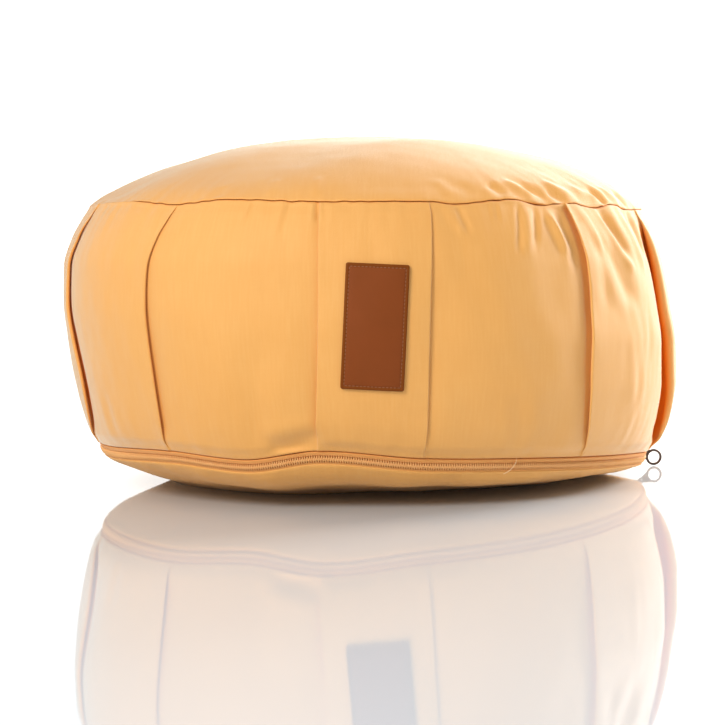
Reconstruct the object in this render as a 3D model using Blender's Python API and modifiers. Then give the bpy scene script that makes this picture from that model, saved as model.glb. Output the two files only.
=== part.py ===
"""A round zafu cushion, 335 mm across and 187 mm high.

The cover has a crowned top panel, a pleated side band and a bottom panel that
is flat where the cushion stands. A zip runs round the front of the lower edge,
with its slider and ring pull at the right, and a leather patch is sewn to the
front panel. The cover is filled hard, so each of its three parts is a solid,
and they meet at the seams.

Z is up, the patch faces -Y, and the origin is on the floor under the middle.
An azimuth is measured round the middle, in degrees from the patch, and grows
towards +X. A share is how far up the side a point lies, from the zip's upper
edge (0) to the top seam (1).
"""

import math
from collections import namedtuple

import bmesh
import bpy
from mathutils import Matrix, Vector

MM = 0.001

# Overall
HEIGHT = 187.5 * MM
SEAM_GAP = 0.3 * MM
SEAM_DRAW = 1.0 * MM  # how far a seam pulls the cloth in
SEAM_ROUND = 1.0 * MM  # height over which the top panel rounds over at its seam
PANEL_PUFF = 2.0 * MM  # how far a panel swells between its two folds

# Zip
ZIP_WIDTH = 6.2 * MM
ZIP_LEAN = 3.0 * MM  # its lower edge lies this much nearer the middle
ZIP_CHANNEL = 2.4 * MM  # depth of the channel that the zip lies in
PLAIN_SEAM_WIDTH = 1.2 * MM
PLAIN_SEAM_CHANNEL = 0.9 * MM
ZIP_START = -106.0
ZIP_END = 106.0
ZIP_END_ROOM = 1.0  # degrees that the channel runs on past the zip's end
ZIP_FADE = 1.0  # degrees over which the channel then closes into the plain seam
ZIP_LEAST_STEP = 1.0  # degrees between two stations of the zip, at the least
LIP_RISE = 0.5 * MM  # the band's lip over the zip is lifted clear of the channel's corner
RIM_DROP = 0.6 * MM  # and the bottom panel rounds over below it
TAPE_THICKNESS = 1.0 * MM
COIL_HEIGHT = 1.8 * MM
COIL_WIDTH = 3.2 * MM

# Slider and pull
SLIDER_AZIMUTH = 99.0
SLIDER_LENGTH = 8.0 * MM
SLIDER_WIDTH = 5.4 * MM
SLIDER_PLATE = 1.3 * MM
SLIDER_ROUND = 0.45 * MM
SLIDER_NOSE = 0.72  # width of its narrow end, as a share of the wide one
BRIDGE_SPAN = 4.6 * MM
BRIDGE_HEIGHT = 2.7 * MM
BRIDGE_WIRE = 0.55 * MM
EYE_RADIUS = 1.35 * MM
EYE_WIRE = 0.45 * MM
PULL_RING_RADIUS = 3.95 * MM
PULL_RING_WIRE = 0.7 * MM
PULL_LENGTH = 8.4 * MM  # from the eye's middle to the ring's middle
PULL_DROOP = 20.0  # degrees below level
PULL_TAB_WIDTH = 3.0 * MM
PULL_TAB_THICKNESS = 1.1 * MM
PULL_TAB_ROUND = 0.3 * MM
PULL_TAB_TAPER = 0.6
JOIN_DEPTH = 0.3 * MM  # how far shapes that are joined run into each other

# Patch
PATCH_WIDTH = 29.6 * MM
PATCH_HEIGHT = 60.0 * MM
PATCH_THICKNESS = 1.6 * MM
PATCH_ACROSS = 2.4 * MM
PATCH_MIDDLE_HEIGHT = 91.6 * MM
PATCH_TILT = -4.5  # degrees, its top leaning towards +X
PATCH_CORNER = 0.6 * MM
PATCH_GAP = 0.4 * MM

# Outline of the side, which leans: fuller high up at the left and low down at the right
Side = namedtuple("Side", "share left_mm right_mm")
SIDE_PROFILE = (
    Side(0.00, 151.0, 152.5),
    Side(0.05, 154.6, 157.6),
    Side(0.15, 157.7, 163.0),
    Side(0.30, 160.8, 166.2),
    Side(0.45, 163.2, 166.4),
    Side(0.60, 165.0, 163.8),
    Side(0.75, 164.8, 160.4),
    Side(0.87, 161.0, 156.2),
    Side(0.95, 156.4, 153.0),
    Side(1.00, 153.0, 151.0),
)

# Height of the top seam and of the zip's upper edge, all the way round
Edge = namedtuple("Edge", "azimuth height_mm")
TOP_SEAM = (
    Edge(-140, 150.5),
    Edge(-90, 152.0),
    Edge(-52, 154.3),
    Edge(-39, 152.0),
    Edge(-28, 153.8),
    Edge(-10, 151.8),
    Edge(12, 150.6),
    Edge(16, 149.2),
    Edge(28, 151.0),
    Edge(35, 147.8),
    Edge(42, 148.7),
    Edge(50, 146.0),
    Edge(57, 147.6),
    Edge(63, 144.8),
    Edge(90, 144.5),
    Edge(140, 147.5),
)
ZIP_LINE = (
    Edge(-150, 21.0),
    Edge(-100, 23.5),
    Edge(-71, 25.2),
    Edge(-43, 27.8),
    Edge(-25, 25.4),
    Edge(-10, 30.2),
    Edge(9, 25.6),
    Edge(31, 22.5),
    Edge(43, 20.5),
    Edge(65, 16.5),
    Edge(88, 12.5),
    Edge(104, 14.5),
    Edge(150, 18.0),
)

# The crown falls away from the middle along two mixed curves, a wide one and a tight one at the shoulder
Crown = namedtuple("Crown", "azimuth power shoulder_share")
CROWN = (
    Crown(-90, 2.75, 0.15),
    Crown(0, 2.6, 0.14),
    Crown(90, 2.35, 0.22),
    Crown(180, 2.6, 0.14),
)
SHOULDER_POWER = 18.0

# The underside: where it meets the floor, and how straight it climbs from there to its seam
Foot = namedtuple("Foot", "azimuth reach_mm straight_share")
FOOT = (
    Foot(-135, 118, 0.90),
    Foot(-90, 109, 0.92),
    Foot(-60, 86, 0.80),
    Foot(-30, 55, 0.68),
    Foot(0, 46, 0.64),
    Foot(30, 60, 0.64),
    Foot(60, 108, 0.76),
    Foot(90, 128, 0.90),
    Foot(135, 124, 0.90),
    Foot(180, 118, 0.90),
)
UNDERSIDE_ROLL_POWER = 10.0

# Folds of the side band, in order round the cushion. Each has its edge's azimuth at the top seam,
# at two thirds and one third of the way up, and at the zip; the way its edge faces (1 for growing
# azimuth); how far the edge stands out; how far the cloth beside it sinks low down and high up, and
# the distance over which that spreads; the thickness of the rolled edge; the depth of the tuck
# behind it; and the stations in the panel that follows it.
Fold = namedtuple(
    "Fold",
    "name top high low foot facing lift_mm sink_low_mm sink_high_mm spread_mm roll_mm tuck_mm stations",
)
FOLDS = (
    Fold("back_box_right", -170.5, -170.5, -170.5, -170.5, 1, 1.6, 0.8, 0.8, 9, 1.5, 5, 5),
    Fold("left_4", -138.3, -138.9, -138.9, -138.3, 1, 2.0, 1.2, 1.2, 9, 1.7, 6, 5),
    Fold("left_3", -106.1, -107.3, -107.4, -106.5, 1, 2.2, 1.4, 1.4, 9, 1.8, 6, 5),
    Fold("left_2", -67.5, -76.0, -73.9, -78.0, 1, 1.0, 3.8, 3.0, 9, 2.2, 7, 5),
    Fold("left_1", -38.4, -42.1, -42.0, -42.6, 1, 2.2, 1.2, 1.2, 9, 1.8, 6, 8),
    Fold("front_box_left", -8.9, -8.6, -9.1, -10.4, -1, 1.5, 0.6, 0.6, 9, 1.4, 5, 5),
    Fold("front_box_right", 11.6, 10.4, 9.7, 9.6, 1, 1.5, 0.6, 0.6, 9, 1.4, 5, 6),
    Fold("right_1", 40.6, 41.8, 41.0, 43.8, -1, 2.0, 1.6, 1.6, 9, 1.7, 6, 10),
    Fold("right_2", 69.0, 76.0, 77.5, 82.0, -1, 0.6, 17.0, 5.5, 15, 6.0, 11, 5),
    Fold("right_3", 106.1, 107.3, 107.4, 106.5, -1, 2.2, 1.4, 1.4, 9, 1.8, 6, 5),
    Fold("right_4", 138.3, 138.9, 138.9, 138.3, -1, 2.0, 1.2, 1.2, 9, 1.7, 6, 5),
    Fold("back_box_left", 170.5, 170.5, 170.5, 170.5, -1, 1.6, 0.8, 0.8, 9, 1.5, 5, 5),
)
LIFT_FADE = 18.0 * MM  # distance over which a lifted panel settles back
SINK_RISE = 0.8  # share, counted down from the top seam, over which a fold reaches its low sink
BOW_AT_SEAMS = 0.45  # how open a fold is at its ends, as a share of half way up
FOLD_END = 0.13  # share over which a fold opens out from the seam that holds it flat
FOLD_REACH = 12.0 * MM  # how far a fold's own stations reach to each side of its edge
FOLD_NEAR = 4.0 * MM
TUCK_MOUTH = 0.5 * MM  # where the covered panel comes out from under the edge
ROLL_BACK = 0.9  # how far back the edge's two sides begin, in radii of its roll

# A fold where a seam holds it flat: distance ahead of its edge, and out from the side
Sewn = namedtuple("Sewn", "ahead_mm out_mm")
SEWN_FOLD = (
    Sewn(-12, 0.0),
    Sewn(-4, 0.3),
    Sewn(-1.2, 0.5),
    Sewn(-0.8, 0.45),
    Sewn(-0.4, 0.2),
    Sewn(0, -0.1),
    Sewn(0.5, -0.3),
    Sewn(4, -0.1),
    Sewn(12, 0.0),
)
COVERED_POINTS = 4  # the last of a fold's points lie on the covered panel

# The main creases where the cloth is gathered into its seams, each a soft valley, or a ridge
# where its depth is negative, from one place on the side to another
Crease = namedtuple("Crease", "azimuth share end_azimuth end_share depth_mm half_width_mm")
CREASES = (
    Crease(50.4, 1.02, 56.8, 0.76, 2.4, 5.5),
    Crease(47.6, 0.88, 55.4, 0.58, 1.8, 6.0),
    Crease(53.0, 0.90, 60.0, 0.66, -1.0, 6.0),
    Crease(35.0, 1.02, 38.6, 0.78, -1.4, 4.5),
    Crease(29.2, 1.02, 26.2, 0.78, -0.9, 5.5),
    Crease(-19.0, 0.60, -21.8, 0.00, 1.2, 9.0),
)
CREASE_END = 0.3  # share of a crease's length over which it fades in at each end

# Shares at which the band is lofted above the zip
BAND_SHARES = (0.05, 0.11, 0.19, 0.29, 0.4, 0.51, 0.62, 0.72, 0.81, 0.89, 0.95, 0.985)
CROWN_RINGS = (0.985, 0.955, 0.9, 0.8, 0.64, 0.42, 0.2)
UNDERSIDE_RINGS = (0.95, 0.86, 0.7, 0.45, 0.2, 0.0)

Colour = namedtuple("Colour", "name rgb roughness metallic")
APRICOT_COTTON = Colour("apricot_cotton", (0.90, 0.50, 0.16), 0.85, 0.0)
APRICOT_ZIP = Colour("apricot_zip", (0.80, 0.40, 0.12), 0.6, 0.0)
BROWN_LEATHER = Colour("brown_leather", (0.24, 0.07, 0.025), 0.55, 0.0)
DARK_METAL = Colour("dark_metal", (0.10, 0.07, 0.055), 0.35, 1.0)


def clear_scene():
    for item in list(bpy.data.objects):
        bpy.data.objects.remove(item, do_unlink=True)


def material(colour):
    made = bpy.data.materials.get(colour.name)
    if made is None:
        made = bpy.data.materials.new(colour.name)
        made.use_nodes = True
        shader = made.node_tree.nodes["Principled BSDF"]
        shader.inputs["Base Color"].default_value = (*colour.rgb, 1.0)
        shader.inputs["Roughness"].default_value = colour.roughness
        shader.inputs["Metallic"].default_value = colour.metallic
    return made


def place(name, mesh, colour, collection):
    """Adds a mesh to the cushion as a named piece, shaded smooth but for its sharp edges."""
    piece = bpy.data.objects.new(name, mesh)
    collection.objects.link(piece)
    mesh.materials.append(material(colour))
    mesh.shade_smooth()
    mesh.set_sharp_from_angle(angle=math.radians(50))
    return piece


def smooth_step(value):
    value = min(max(value, 0.0), 1.0)
    return value * value * (3 - 2 * value)


def smooth_curve(knots, at):
    """Reads a smooth curve through (place, value) knots that never overshoots them."""
    if at <= knots[0][0]:
        return knots[0][1]
    if at >= knots[-1][0]:
        return knots[-1][1]
    i = max(n for n in range(len(knots) - 1) if knots[n][0] <= at)

    def slope(n):
        if n < 0 or n > len(knots) - 2:
            return 0.0
        return (knots[n + 1][1] - knots[n][1]) / (knots[n + 1][0] - knots[n][0])

    def tangent(n):
        before, after = slope(n - 1), slope(n)
        if before * after <= 0:
            return 0.0
        return 2 * before * after / (before + after)

    span = knots[i + 1][0] - knots[i][0]
    t = (at - knots[i][0]) / span
    start, end = knots[i][1], knots[i + 1][1]
    rise = t * t * (3 - 2 * t)
    return (
        start
        + (end - start) * rise
        + span * tangent(i) * t * (1 - t) ** 2
        - span * tangent(i + 1) * t * t * (1 - t)
    )


def half_turn(azimuth):
    """The same azimuth, between -180 and 180."""
    return (azimuth + 180) % 360 - 180


def round_curve(rows, column, azimuth):
    """Reads a column of a table whose rows go round the cushion by azimuth."""
    knots = [(row.azimuth, getattr(row, column)) for row in rows]
    before = [(where - 360, value) for where, value in knots[-2:]]
    after = [(where + 360, value) for where, value in knots[:2]]
    return smooth_curve(before + knots + after, half_turn(azimuth))


def top_seam_height(azimuth):
    return round_curve(TOP_SEAM, "height_mm", azimuth) * MM


def zip_line_height(azimuth):
    return round_curve(ZIP_LINE, "height_mm", azimuth) * MM


def side_radius(azimuth, share):
    left = smooth_curve([(row.share, row.left_mm) for row in SIDE_PROFILE], share)
    right = smooth_curve([(row.share, row.right_mm) for row in SIDE_PROFILE], share)
    lean = math.sin(math.radians(azimuth)) * (right - left) / 2
    return ((left + right) / 2 + lean) * MM


def side_height(azimuth, share):
    low = zip_line_height(azimuth)
    return low + share * (top_seam_height(azimuth) - low)


def zip_share(azimuth):
    """1 where the zip runs, 0 where the plain seam does."""
    inside = min(half_turn(azimuth) - ZIP_START, ZIP_END - half_turn(azimuth))
    return smooth_step((inside + ZIP_END_ROOM) / ZIP_FADE + 1)


def seam_width(azimuth):
    share = zip_share(azimuth)
    return PLAIN_SEAM_WIDTH + share * (ZIP_WIDTH - PLAIN_SEAM_WIDTH)


def channel_depth(azimuth):
    share = zip_share(azimuth)
    return PLAIN_SEAM_CHANNEL + share * (ZIP_CHANNEL - PLAIN_SEAM_CHANNEL)


def edge_azimuth(fold, share):
    """Azimuth of a fold's edge, along the cubic through its four stated places."""
    places = ((0.0, fold.foot), (1 / 3, fold.low), (2 / 3, fold.high), (1.0, fold.top))
    azimuth = 0.0
    for at, stated in places:
        weight = 1.0
        for other, _ in places:
            if other != at:
                weight *= (share - other) / (at - other)
        azimuth += weight * stated
    return azimuth


def openness(share):
    """0 at a seam, where a fold is sewn flat, and 1 where it hangs free."""
    return smooth_step(share / FOLD_END) * smooth_step((1 - share) / FOLD_END)


def fold_bow(share):
    """The folds stand out most half way up."""
    return BOW_AT_SEAMS + (1 - BOW_AT_SEAMS) * math.sin(math.pi * min(max(share, 0.0), 1.0))


def fold_lift(fold, share, distance):
    """How far the covering panel stands out at this distance behind the fold's edge."""
    return fold.lift_mm * MM * fold_bow(share) * math.exp(-distance / LIFT_FADE)


def fold_sink(fold, share, distance):
    """How far the covered panel lies in at this distance ahead of the fold's edge."""
    low = smooth_step((1 - share) / SINK_RISE)
    depth = fold.sink_high_mm + (fold.sink_low_mm - fold.sink_high_mm) * low
    return depth * MM * math.exp(-distance / (fold.spread_mm * MM))


def fold_section(fold, share):
    """Points over a fold from the covering panel to the covered one.

    Each is (distance ahead of the fold's edge, distance out from the side).
    """
    lift = fold_lift(fold, share, 0)
    sink = fold_sink(fold, share, TUCK_MOUTH)
    roll = fold.roll_mm * MM * fold_bow(share) / 2
    free = (
        (-FOLD_REACH, fold_lift(fold, share, FOLD_REACH)),
        (-FOLD_NEAR - roll, fold_lift(fold, share, FOLD_NEAR)),
        (-ROLL_BACK * roll, lift),
        (0.0, lift - roll),
        (-ROLL_BACK * roll, lift - 2 * roll),
        (-fold.tuck_mm * MM, (lift - 2 * roll - sink) / 2),
        (TUCK_MOUTH, -sink),
        (FOLD_NEAR, -fold_sink(fold, share, FOLD_NEAR)),
        (FOLD_REACH, -fold_sink(fold, share, FOLD_REACH)),
    )
    open_share = openness(share)
    return [
        (
            sewn.ahead_mm * MM + (ahead - sewn.ahead_mm * MM) * open_share,
            sewn.out_mm * MM + (out - sewn.out_mm * MM) * open_share,
        )
        for sewn, (ahead, out) in zip(SEWN_FOLD, free)
    ]


def crease_out(azimuth, share):
    """How far the main creases move the cloth out at this place."""
    height = top_seam_height(azimuth) - zip_line_height(azimuth)
    degree = math.radians(1) * side_radius(azimuth, share)
    out = 0.0
    for crease in CREASES:
        run = Vector((
            (crease.end_azimuth - crease.azimuth) * degree,
            (crease.end_share - crease.share) * height,
        ))
        here = Vector((
            (half_turn(azimuth) - crease.azimuth) * degree,
            (share - crease.share) * height,
        ))
        along = here.dot(run) / run.length_squared
        if 0 < along < 1:
            off_line = (here - run * along).length / (crease.half_width_mm * MM)
            ends = smooth_step(along / CREASE_END) * smooth_step((1 - along) / CREASE_END)
            out -= crease.depth_mm * MM * math.exp(-off_line * off_line) * ends
    return out


def panel_puff(azimuth, share, first, last):
    """How far a panel swells at an azimuth between its two fold edges."""
    across = min(max((azimuth - first) / (last - first), 0.0), 1.0)
    return PANEL_PUFF * math.sin(math.pi * across) * 4 * share * (1 - share)


def band_section(share):
    """The band's outline at one share, as (azimuth, distance out from the side), going round once."""
    edges = [edge_azimuth(fold, share) for fold in FOLDS]
    points = []
    for i, fold in enumerate(FOLDS):
        over = fold_section(fold, share)
        # An edge that faces a growing azimuth is met from its covering panel.
        walk = over if fold.facing > 0 else over[::-1]
        degrees = math.degrees(1 / side_radius(edges[i], share))
        ahead = edges[(i + 1) % len(FOLDS)] + (360 if i == len(FOLDS) - 1 else 0)
        behind = edges[i - 1] - (360 if i == 0 else 0)
        for n, (distance, out) in enumerate(walk):
            azimuth = edges[i] + fold.facing * distance * degrees
            # On the way round, the panel behind ends at the tuck.
            behind_points = len(walk) - COVERED_POINTS if fold.facing > 0 else COVERED_POINTS
            first, last = (behind, edges[i]) if n < behind_points else (edges[i], ahead)
            swell = panel_puff(azimuth, share, first, last) + crease_out(azimuth, share)
            points.append((azimuth, out + swell))
        start = points[-1][0]
        following = FOLDS[(i + 1) % len(FOLDS)]
        next_degrees = math.degrees(1 / side_radius(ahead, share))
        end = ahead - FOLD_REACH * next_degrees
        for n in range(1, fold.stations + 1):
            azimuth = start + (end - start) * n / (fold.stations + 1)
            swell = panel_puff(azimuth, share, edges[i], ahead) + crease_out(azimuth, share)
            fading = settle(fold, azimuth - edges[i], share, degrees)
            arriving = settle(following, azimuth - ahead, share, next_degrees)
            points.append((azimuth, swell + fading + arriving))
    return points


def settle(fold, turn, share, degrees):
    """What is left of a fold's lift or sink at an azimuth this far past its edge."""
    distance = fold.facing * turn / degrees
    if distance < 0:
        return fold_lift(fold, share, -distance) * openness(share)
    return -fold_sink(fold, share, distance) * openness(share)


def turned(azimuth, radius, height):
    angle = math.radians(azimuth)
    return Vector((radius * math.sin(angle), -radius * math.cos(angle), height))


def loft(name, rings, start, end, colour, collection):
    """A closed solid through rings of equal length, closed by a fan to a point at each end."""
    shape = bmesh.new()
    rows = [[shape.verts.new(point) for point in ring] for ring in rings]
    tips = [shape.verts.new(start), shape.verts.new(end)]
    count = len(rings[0])
    for low, high in zip(rows, rows[1:]):
        for i in range(count):
            j = (i + 1) % count
            shape.faces.new((low[i], low[j], high[j], high[i]))
    for i in range(count):
        j = (i + 1) % count
        shape.faces.new((rows[0][j], rows[0][i], tips[0]))
        shape.faces.new((rows[-1][i], rows[-1][j], tips[1]))
    mesh = bpy.data.meshes.new(name)
    shape.to_mesh(mesh)
    shape.free()
    return place(name, mesh, colour, collection)


def make_side_band(collection):
    """The pleated band, from the middle of the zip channel up to the top seam."""
    foot = [azimuth for azimuth, _ in band_section(0.0)]
    floor_of_channel = []
    top_of_channel = []
    for azimuth in foot:
        high = zip_line_height(azimuth)
        radius = side_radius(azimuth, 0) - channel_depth(azimuth)
        middle = high - seam_width(azimuth) / 2 + SEAM_GAP / 2
        floor_of_channel.append(turned(azimuth, radius - ZIP_LEAN / 2, middle))
        top_of_channel.append(turned(azimuth, radius, high))
    rings = [floor_of_channel, top_of_channel]
    for share in (0.0, *BAND_SHARES):
        rings.append(
            [
                turned(azimuth, side_radius(azimuth, share) + out, side_height(azimuth, share))
                for azimuth, out in band_section(share)
            ]
        )
    rings[2] = [point + Vector((0, 0, LIP_RISE)) for point in rings[2]]
    rings.append(top_ring(0.0))
    low = Vector((0, 0, zip_line_height(0) - ZIP_WIDTH / 2 + SEAM_GAP / 2))
    high = Vector((0, 0, top_seam_height(90)))
    return loft("side_band", rings, low, high, APRICOT_COTTON, collection)


def top_ring(raise_by):
    """The line of the top seam, drawn in from the side."""
    return [
        turned(azimuth, side_radius(azimuth, 1) + out - SEAM_DRAW, top_seam_height(azimuth) + raise_by)
        for azimuth, out in band_section(1.0)
    ]


def crown_height(azimuth, reach):
    """Height of the top at this share of the way from the middle to the seam."""
    low = top_seam_height(azimuth)
    power = round_curve(CROWN, "power", azimuth)
    shoulder = round_curve(CROWN, "shoulder_share", azimuth)
    fall = (1 - shoulder) * reach**power + shoulder * reach**SHOULDER_POWER
    return low + (HEIGHT - low) * (1 - fall)


def make_top_panel(collection):
    """The crowned top, from its seam to its middle."""
    azimuths = [azimuth for azimuth, _ in band_section(1.0)]
    rings = [top_ring(SEAM_GAP)]
    rings.append(
        [
            turned(azimuth, side_radius(azimuth, 1), top_seam_height(azimuth) + SEAM_ROUND)
            for azimuth in azimuths
        ]
    )
    for reach in CROWN_RINGS:
        rings.append(
            [
                turned(azimuth, side_radius(azimuth, 1) * reach, crown_height(azimuth, reach))
                for azimuth in azimuths
            ]
        )
    low = Vector((0, 0, top_seam_height(90) + SEAM_GAP))
    high = Vector((0, 0, HEIGHT))
    return loft("top_panel", rings, low, high, APRICOT_COTTON, collection)


def underside_point(azimuth, share):
    """A point of the underside, from the foot (0) to the seam under the zip (1)."""
    rim = side_radius(azimuth, 0) - ZIP_LEAN
    rim_height = zip_line_height(azimuth) - seam_width(azimuth) - RIM_DROP
    reach = round_curve(FOOT, "reach_mm", azimuth) * MM
    straight = round_curve(FOOT, "straight_share", azimuth)
    climb = straight * share + (1 - straight) * share**UNDERSIDE_ROLL_POWER
    return turned(azimuth, reach + share * (rim - reach), climb * rim_height)


def make_bottom_panel(collection):
    """The bottom, from the middle of the zip channel down to the flat foot."""
    azimuths = [azimuth for azimuth, _ in band_section(0.0)]
    floor_of_channel = []
    bottom_of_channel = []
    for azimuth in azimuths:
        high = zip_line_height(azimuth)
        radius = side_radius(azimuth, 0) - channel_depth(azimuth)
        middle = high - seam_width(azimuth) / 2 - SEAM_GAP / 2
        low = high - seam_width(azimuth)
        floor_of_channel.append(turned(azimuth, radius - ZIP_LEAN / 2, middle))
        bottom_of_channel.append(turned(azimuth, radius - ZIP_LEAN, low))
    rim = [underside_point(azimuth, 1.0) for azimuth in azimuths]
    rings = [
        [underside_point(azimuth, share) for azimuth in azimuths]
        for share in reversed(UNDERSIDE_RINGS)
    ]
    rings += [rim, bottom_of_channel, floor_of_channel]
    high = Vector((0, 0, zip_line_height(0) - ZIP_WIDTH / 2 - SEAM_GAP / 2))
    return loft("bottom_panel", rings, Vector((0, 0, 0)), high, APRICOT_COTTON, collection)


def zip_frame(azimuth):
    """The middle of the zip channel's floor and the ways out of it and up it, at an azimuth."""
    radius = side_radius(azimuth, 0) - channel_depth(azimuth) - ZIP_LEAN / 2
    middle = turned(azimuth, radius, zip_line_height(azimuth) - seam_width(azimuth) / 2)
    level = turned(azimuth, 1.0, 0.0)
    up = (level * ZIP_LEAN + Vector((0, 0, ZIP_WIDTH))).normalized()
    along = turned(azimuth + 90, 1.0, 0.0)
    return middle, along.cross(up).normalized(), up, along


def zip_azimuths():
    """The band's own stations from one end of the zip to the other, but for those set close at a fold."""
    chosen = [ZIP_START]
    for azimuth, _ in band_section(0.0):
        if chosen[-1] + ZIP_LEAST_STEP < half_turn(azimuth) < ZIP_END - ZIP_LEAST_STEP:
            chosen.append(half_turn(azimuth))
    return chosen + [ZIP_END]


def make_zip(collection):
    """Tape with its raised coil, swept along the channel."""
    half = math.hypot(ZIP_WIDTH, ZIP_LEAN) / 2 - SEAM_GAP
    tape_back = SEAM_GAP
    tape_front = SEAM_GAP + TAPE_THICKNESS
    coil_front = SEAM_GAP + COIL_HEIGHT
    section = (
        (-half, tape_back),
        (half, tape_back),
        (half, tape_front),
        (COIL_WIDTH / 2, tape_front),
        (COIL_WIDTH / 4, coil_front),
        (-COIL_WIDTH / 4, coil_front),
        (-COIL_WIDTH / 2, tape_front),
        (-half, tape_front),
    )
    shape = bmesh.new()
    rows = []
    for azimuth in zip_azimuths():
        middle, out, up, _ = zip_frame(azimuth)
        rows.append([shape.verts.new(middle + up * rise + out * away) for rise, away in section])
    for first, second in zip(rows, rows[1:]):
        for i in range(len(section)):
            j = (i + 1) % len(section)
            shape.faces.new((first[i], first[j], second[j], second[i]))
    shape.faces.new(rows[0][::-1])
    shape.faces.new(rows[-1])
    bmesh.ops.recalc_face_normals(shape, faces=shape.faces)
    mesh = bpy.data.meshes.new("zip")
    shape.to_mesh(mesh)
    shape.free()
    return place("zip", mesh, APRICOT_ZIP, collection)


def slider_matrix():
    """The slider's own frame: X along the zip, Y up it, Z out of it, on top of the coil."""
    middle, out, up, along = zip_frame(SLIDER_AZIMUTH)
    seat = middle + out * (2 * SEAM_GAP + COIL_HEIGHT)
    turn = Matrix((along, up, out)).transposed().to_4x4()
    return Matrix.Translation(seat) @ turn


def solid_of_curve(curve_object):
    """The closed mesh of a bevelled curve, with its caps welded on, in place of the curve."""
    bpy.context.view_layer.update()
    graph = bpy.context.evaluated_depsgraph_get()
    mesh = bpy.data.meshes.new_from_object(curve_object.evaluated_get(graph))
    mesh.transform(curve_object.matrix_world)
    shape = bmesh.new()
    shape.from_mesh(mesh)
    bmesh.ops.remove_doubles(shape, verts=shape.verts, dist=0.00001)
    shape.to_mesh(mesh)
    shape.free()
    bpy.data.objects.remove(curve_object)
    return mesh


def wire_arc(name, span, height, wire, collection):
    """An arch of wire that stands on Z = 0 with its feet a little sunk."""
    curve = bpy.data.curves.new(name, "CURVE")
    curve.dimensions = "3D"
    curve.bevel_depth = wire
    curve.bevel_resolution = 1
    curve.use_fill_caps = True
    spline = curve.splines.new("POLY")
    steps = 6
    spline.points.add(steps)
    for i in range(steps + 1):
        angle = math.pi * i / steps
        across = -math.cos(angle) * span / 2
        rise = math.sin(angle) * height - JOIN_DEPTH
        spline.points[i].co = (across, 0.0, rise, 1.0)
    arch = bpy.data.objects.new(name, curve)
    collection.objects.link(arch)
    return arch


def hidden(mesh, name, collection):
    helper = bpy.data.objects.new(name, mesh)
    helper.hide_render = True
    helper.display_type = "WIRE"
    collection.objects.link(helper)
    return helper


def join_to(piece, helper):
    union = piece.modifiers.new("join " + helper.name, "BOOLEAN")
    union.operation = "UNION"
    union.solver = "EXACT"
    union.object = helper


def box_mesh(name, size, bevel):
    shape = bmesh.new()
    bmesh.ops.create_cube(shape, size=1.0)
    bmesh.ops.scale(shape, verts=shape.verts, vec=size)
    bmesh.ops.bevel(
        shape, geom=shape.edges[:], offset=bevel, segments=2, profile=0.5, affect="EDGES"
    )
    mesh = bpy.data.meshes.new(name)
    shape.to_mesh(mesh)
    shape.free()
    return mesh


def make_slider(collection, helpers):
    """The slider's upper plate, narrower at its nose, with the wire bridge that holds the pull."""
    mesh = box_mesh("zip_slider", (SLIDER_LENGTH, SLIDER_WIDTH, SLIDER_PLATE), SLIDER_ROUND)
    for vertex in mesh.vertices:
        vertex.co.z += SLIDER_PLATE / 2
        if vertex.co.x > 0:
            vertex.co.y *= SLIDER_NOSE
    mesh.transform(slider_matrix())
    slider = place("zip_slider", mesh, DARK_METAL, collection)
    arch = wire_arc("bridge", BRIDGE_SPAN, BRIDGE_HEIGHT, BRIDGE_WIRE, helpers)
    bridge = solid_of_curve(arch)
    bridge.transform(slider_matrix() @ Matrix.Translation((0, 0, SLIDER_PLATE)))
    join_to(slider, hidden(bridge, "slider_bridge", helpers))
    return slider


def torus_mesh(name, radius, wire, around, across):
    """A ring lying flat at the origin."""
    curve = bpy.data.curves.new(name, "CURVE")
    curve.dimensions = "3D"
    curve.bevel_depth = wire
    curve.bevel_resolution = across
    spline = curve.splines.new("POLY")
    spline.points.add(around - 1)
    for i in range(around):
        angle = 2 * math.pi * i / around
        spline.points[i].co = (radius * math.cos(angle), radius * math.sin(angle), 0.0, 1.0)
    spline.use_cyclic_u = True
    ring = bpy.data.objects.new(name, curve)
    bpy.context.scene.collection.objects.link(ring)
    return solid_of_curve(ring)


def pull_matrix():
    """The pull's own frame: its eye at the origin, its length along X, its flat side across Z."""
    slider = slider_matrix()
    # The eye hangs round the bridge, with the wire through its middle.
    eye = Vector((0, 0, SLIDER_PLATE + BRIDGE_HEIGHT - JOIN_DEPTH))
    droop = math.radians(PULL_DROOP)
    flat = turned(SLIDER_AZIMUTH, 1.0, 0.0)
    length = (flat * math.cos(droop) - Vector((0, 0, math.sin(droop)))).normalized()
    side = turned(SLIDER_AZIMUTH + 90, 1.0, 0.0)
    turn = Matrix((length, side.cross(length).normalized(), side)).transposed().to_4x4()
    return Matrix.Translation(slider @ eye) @ turn


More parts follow.
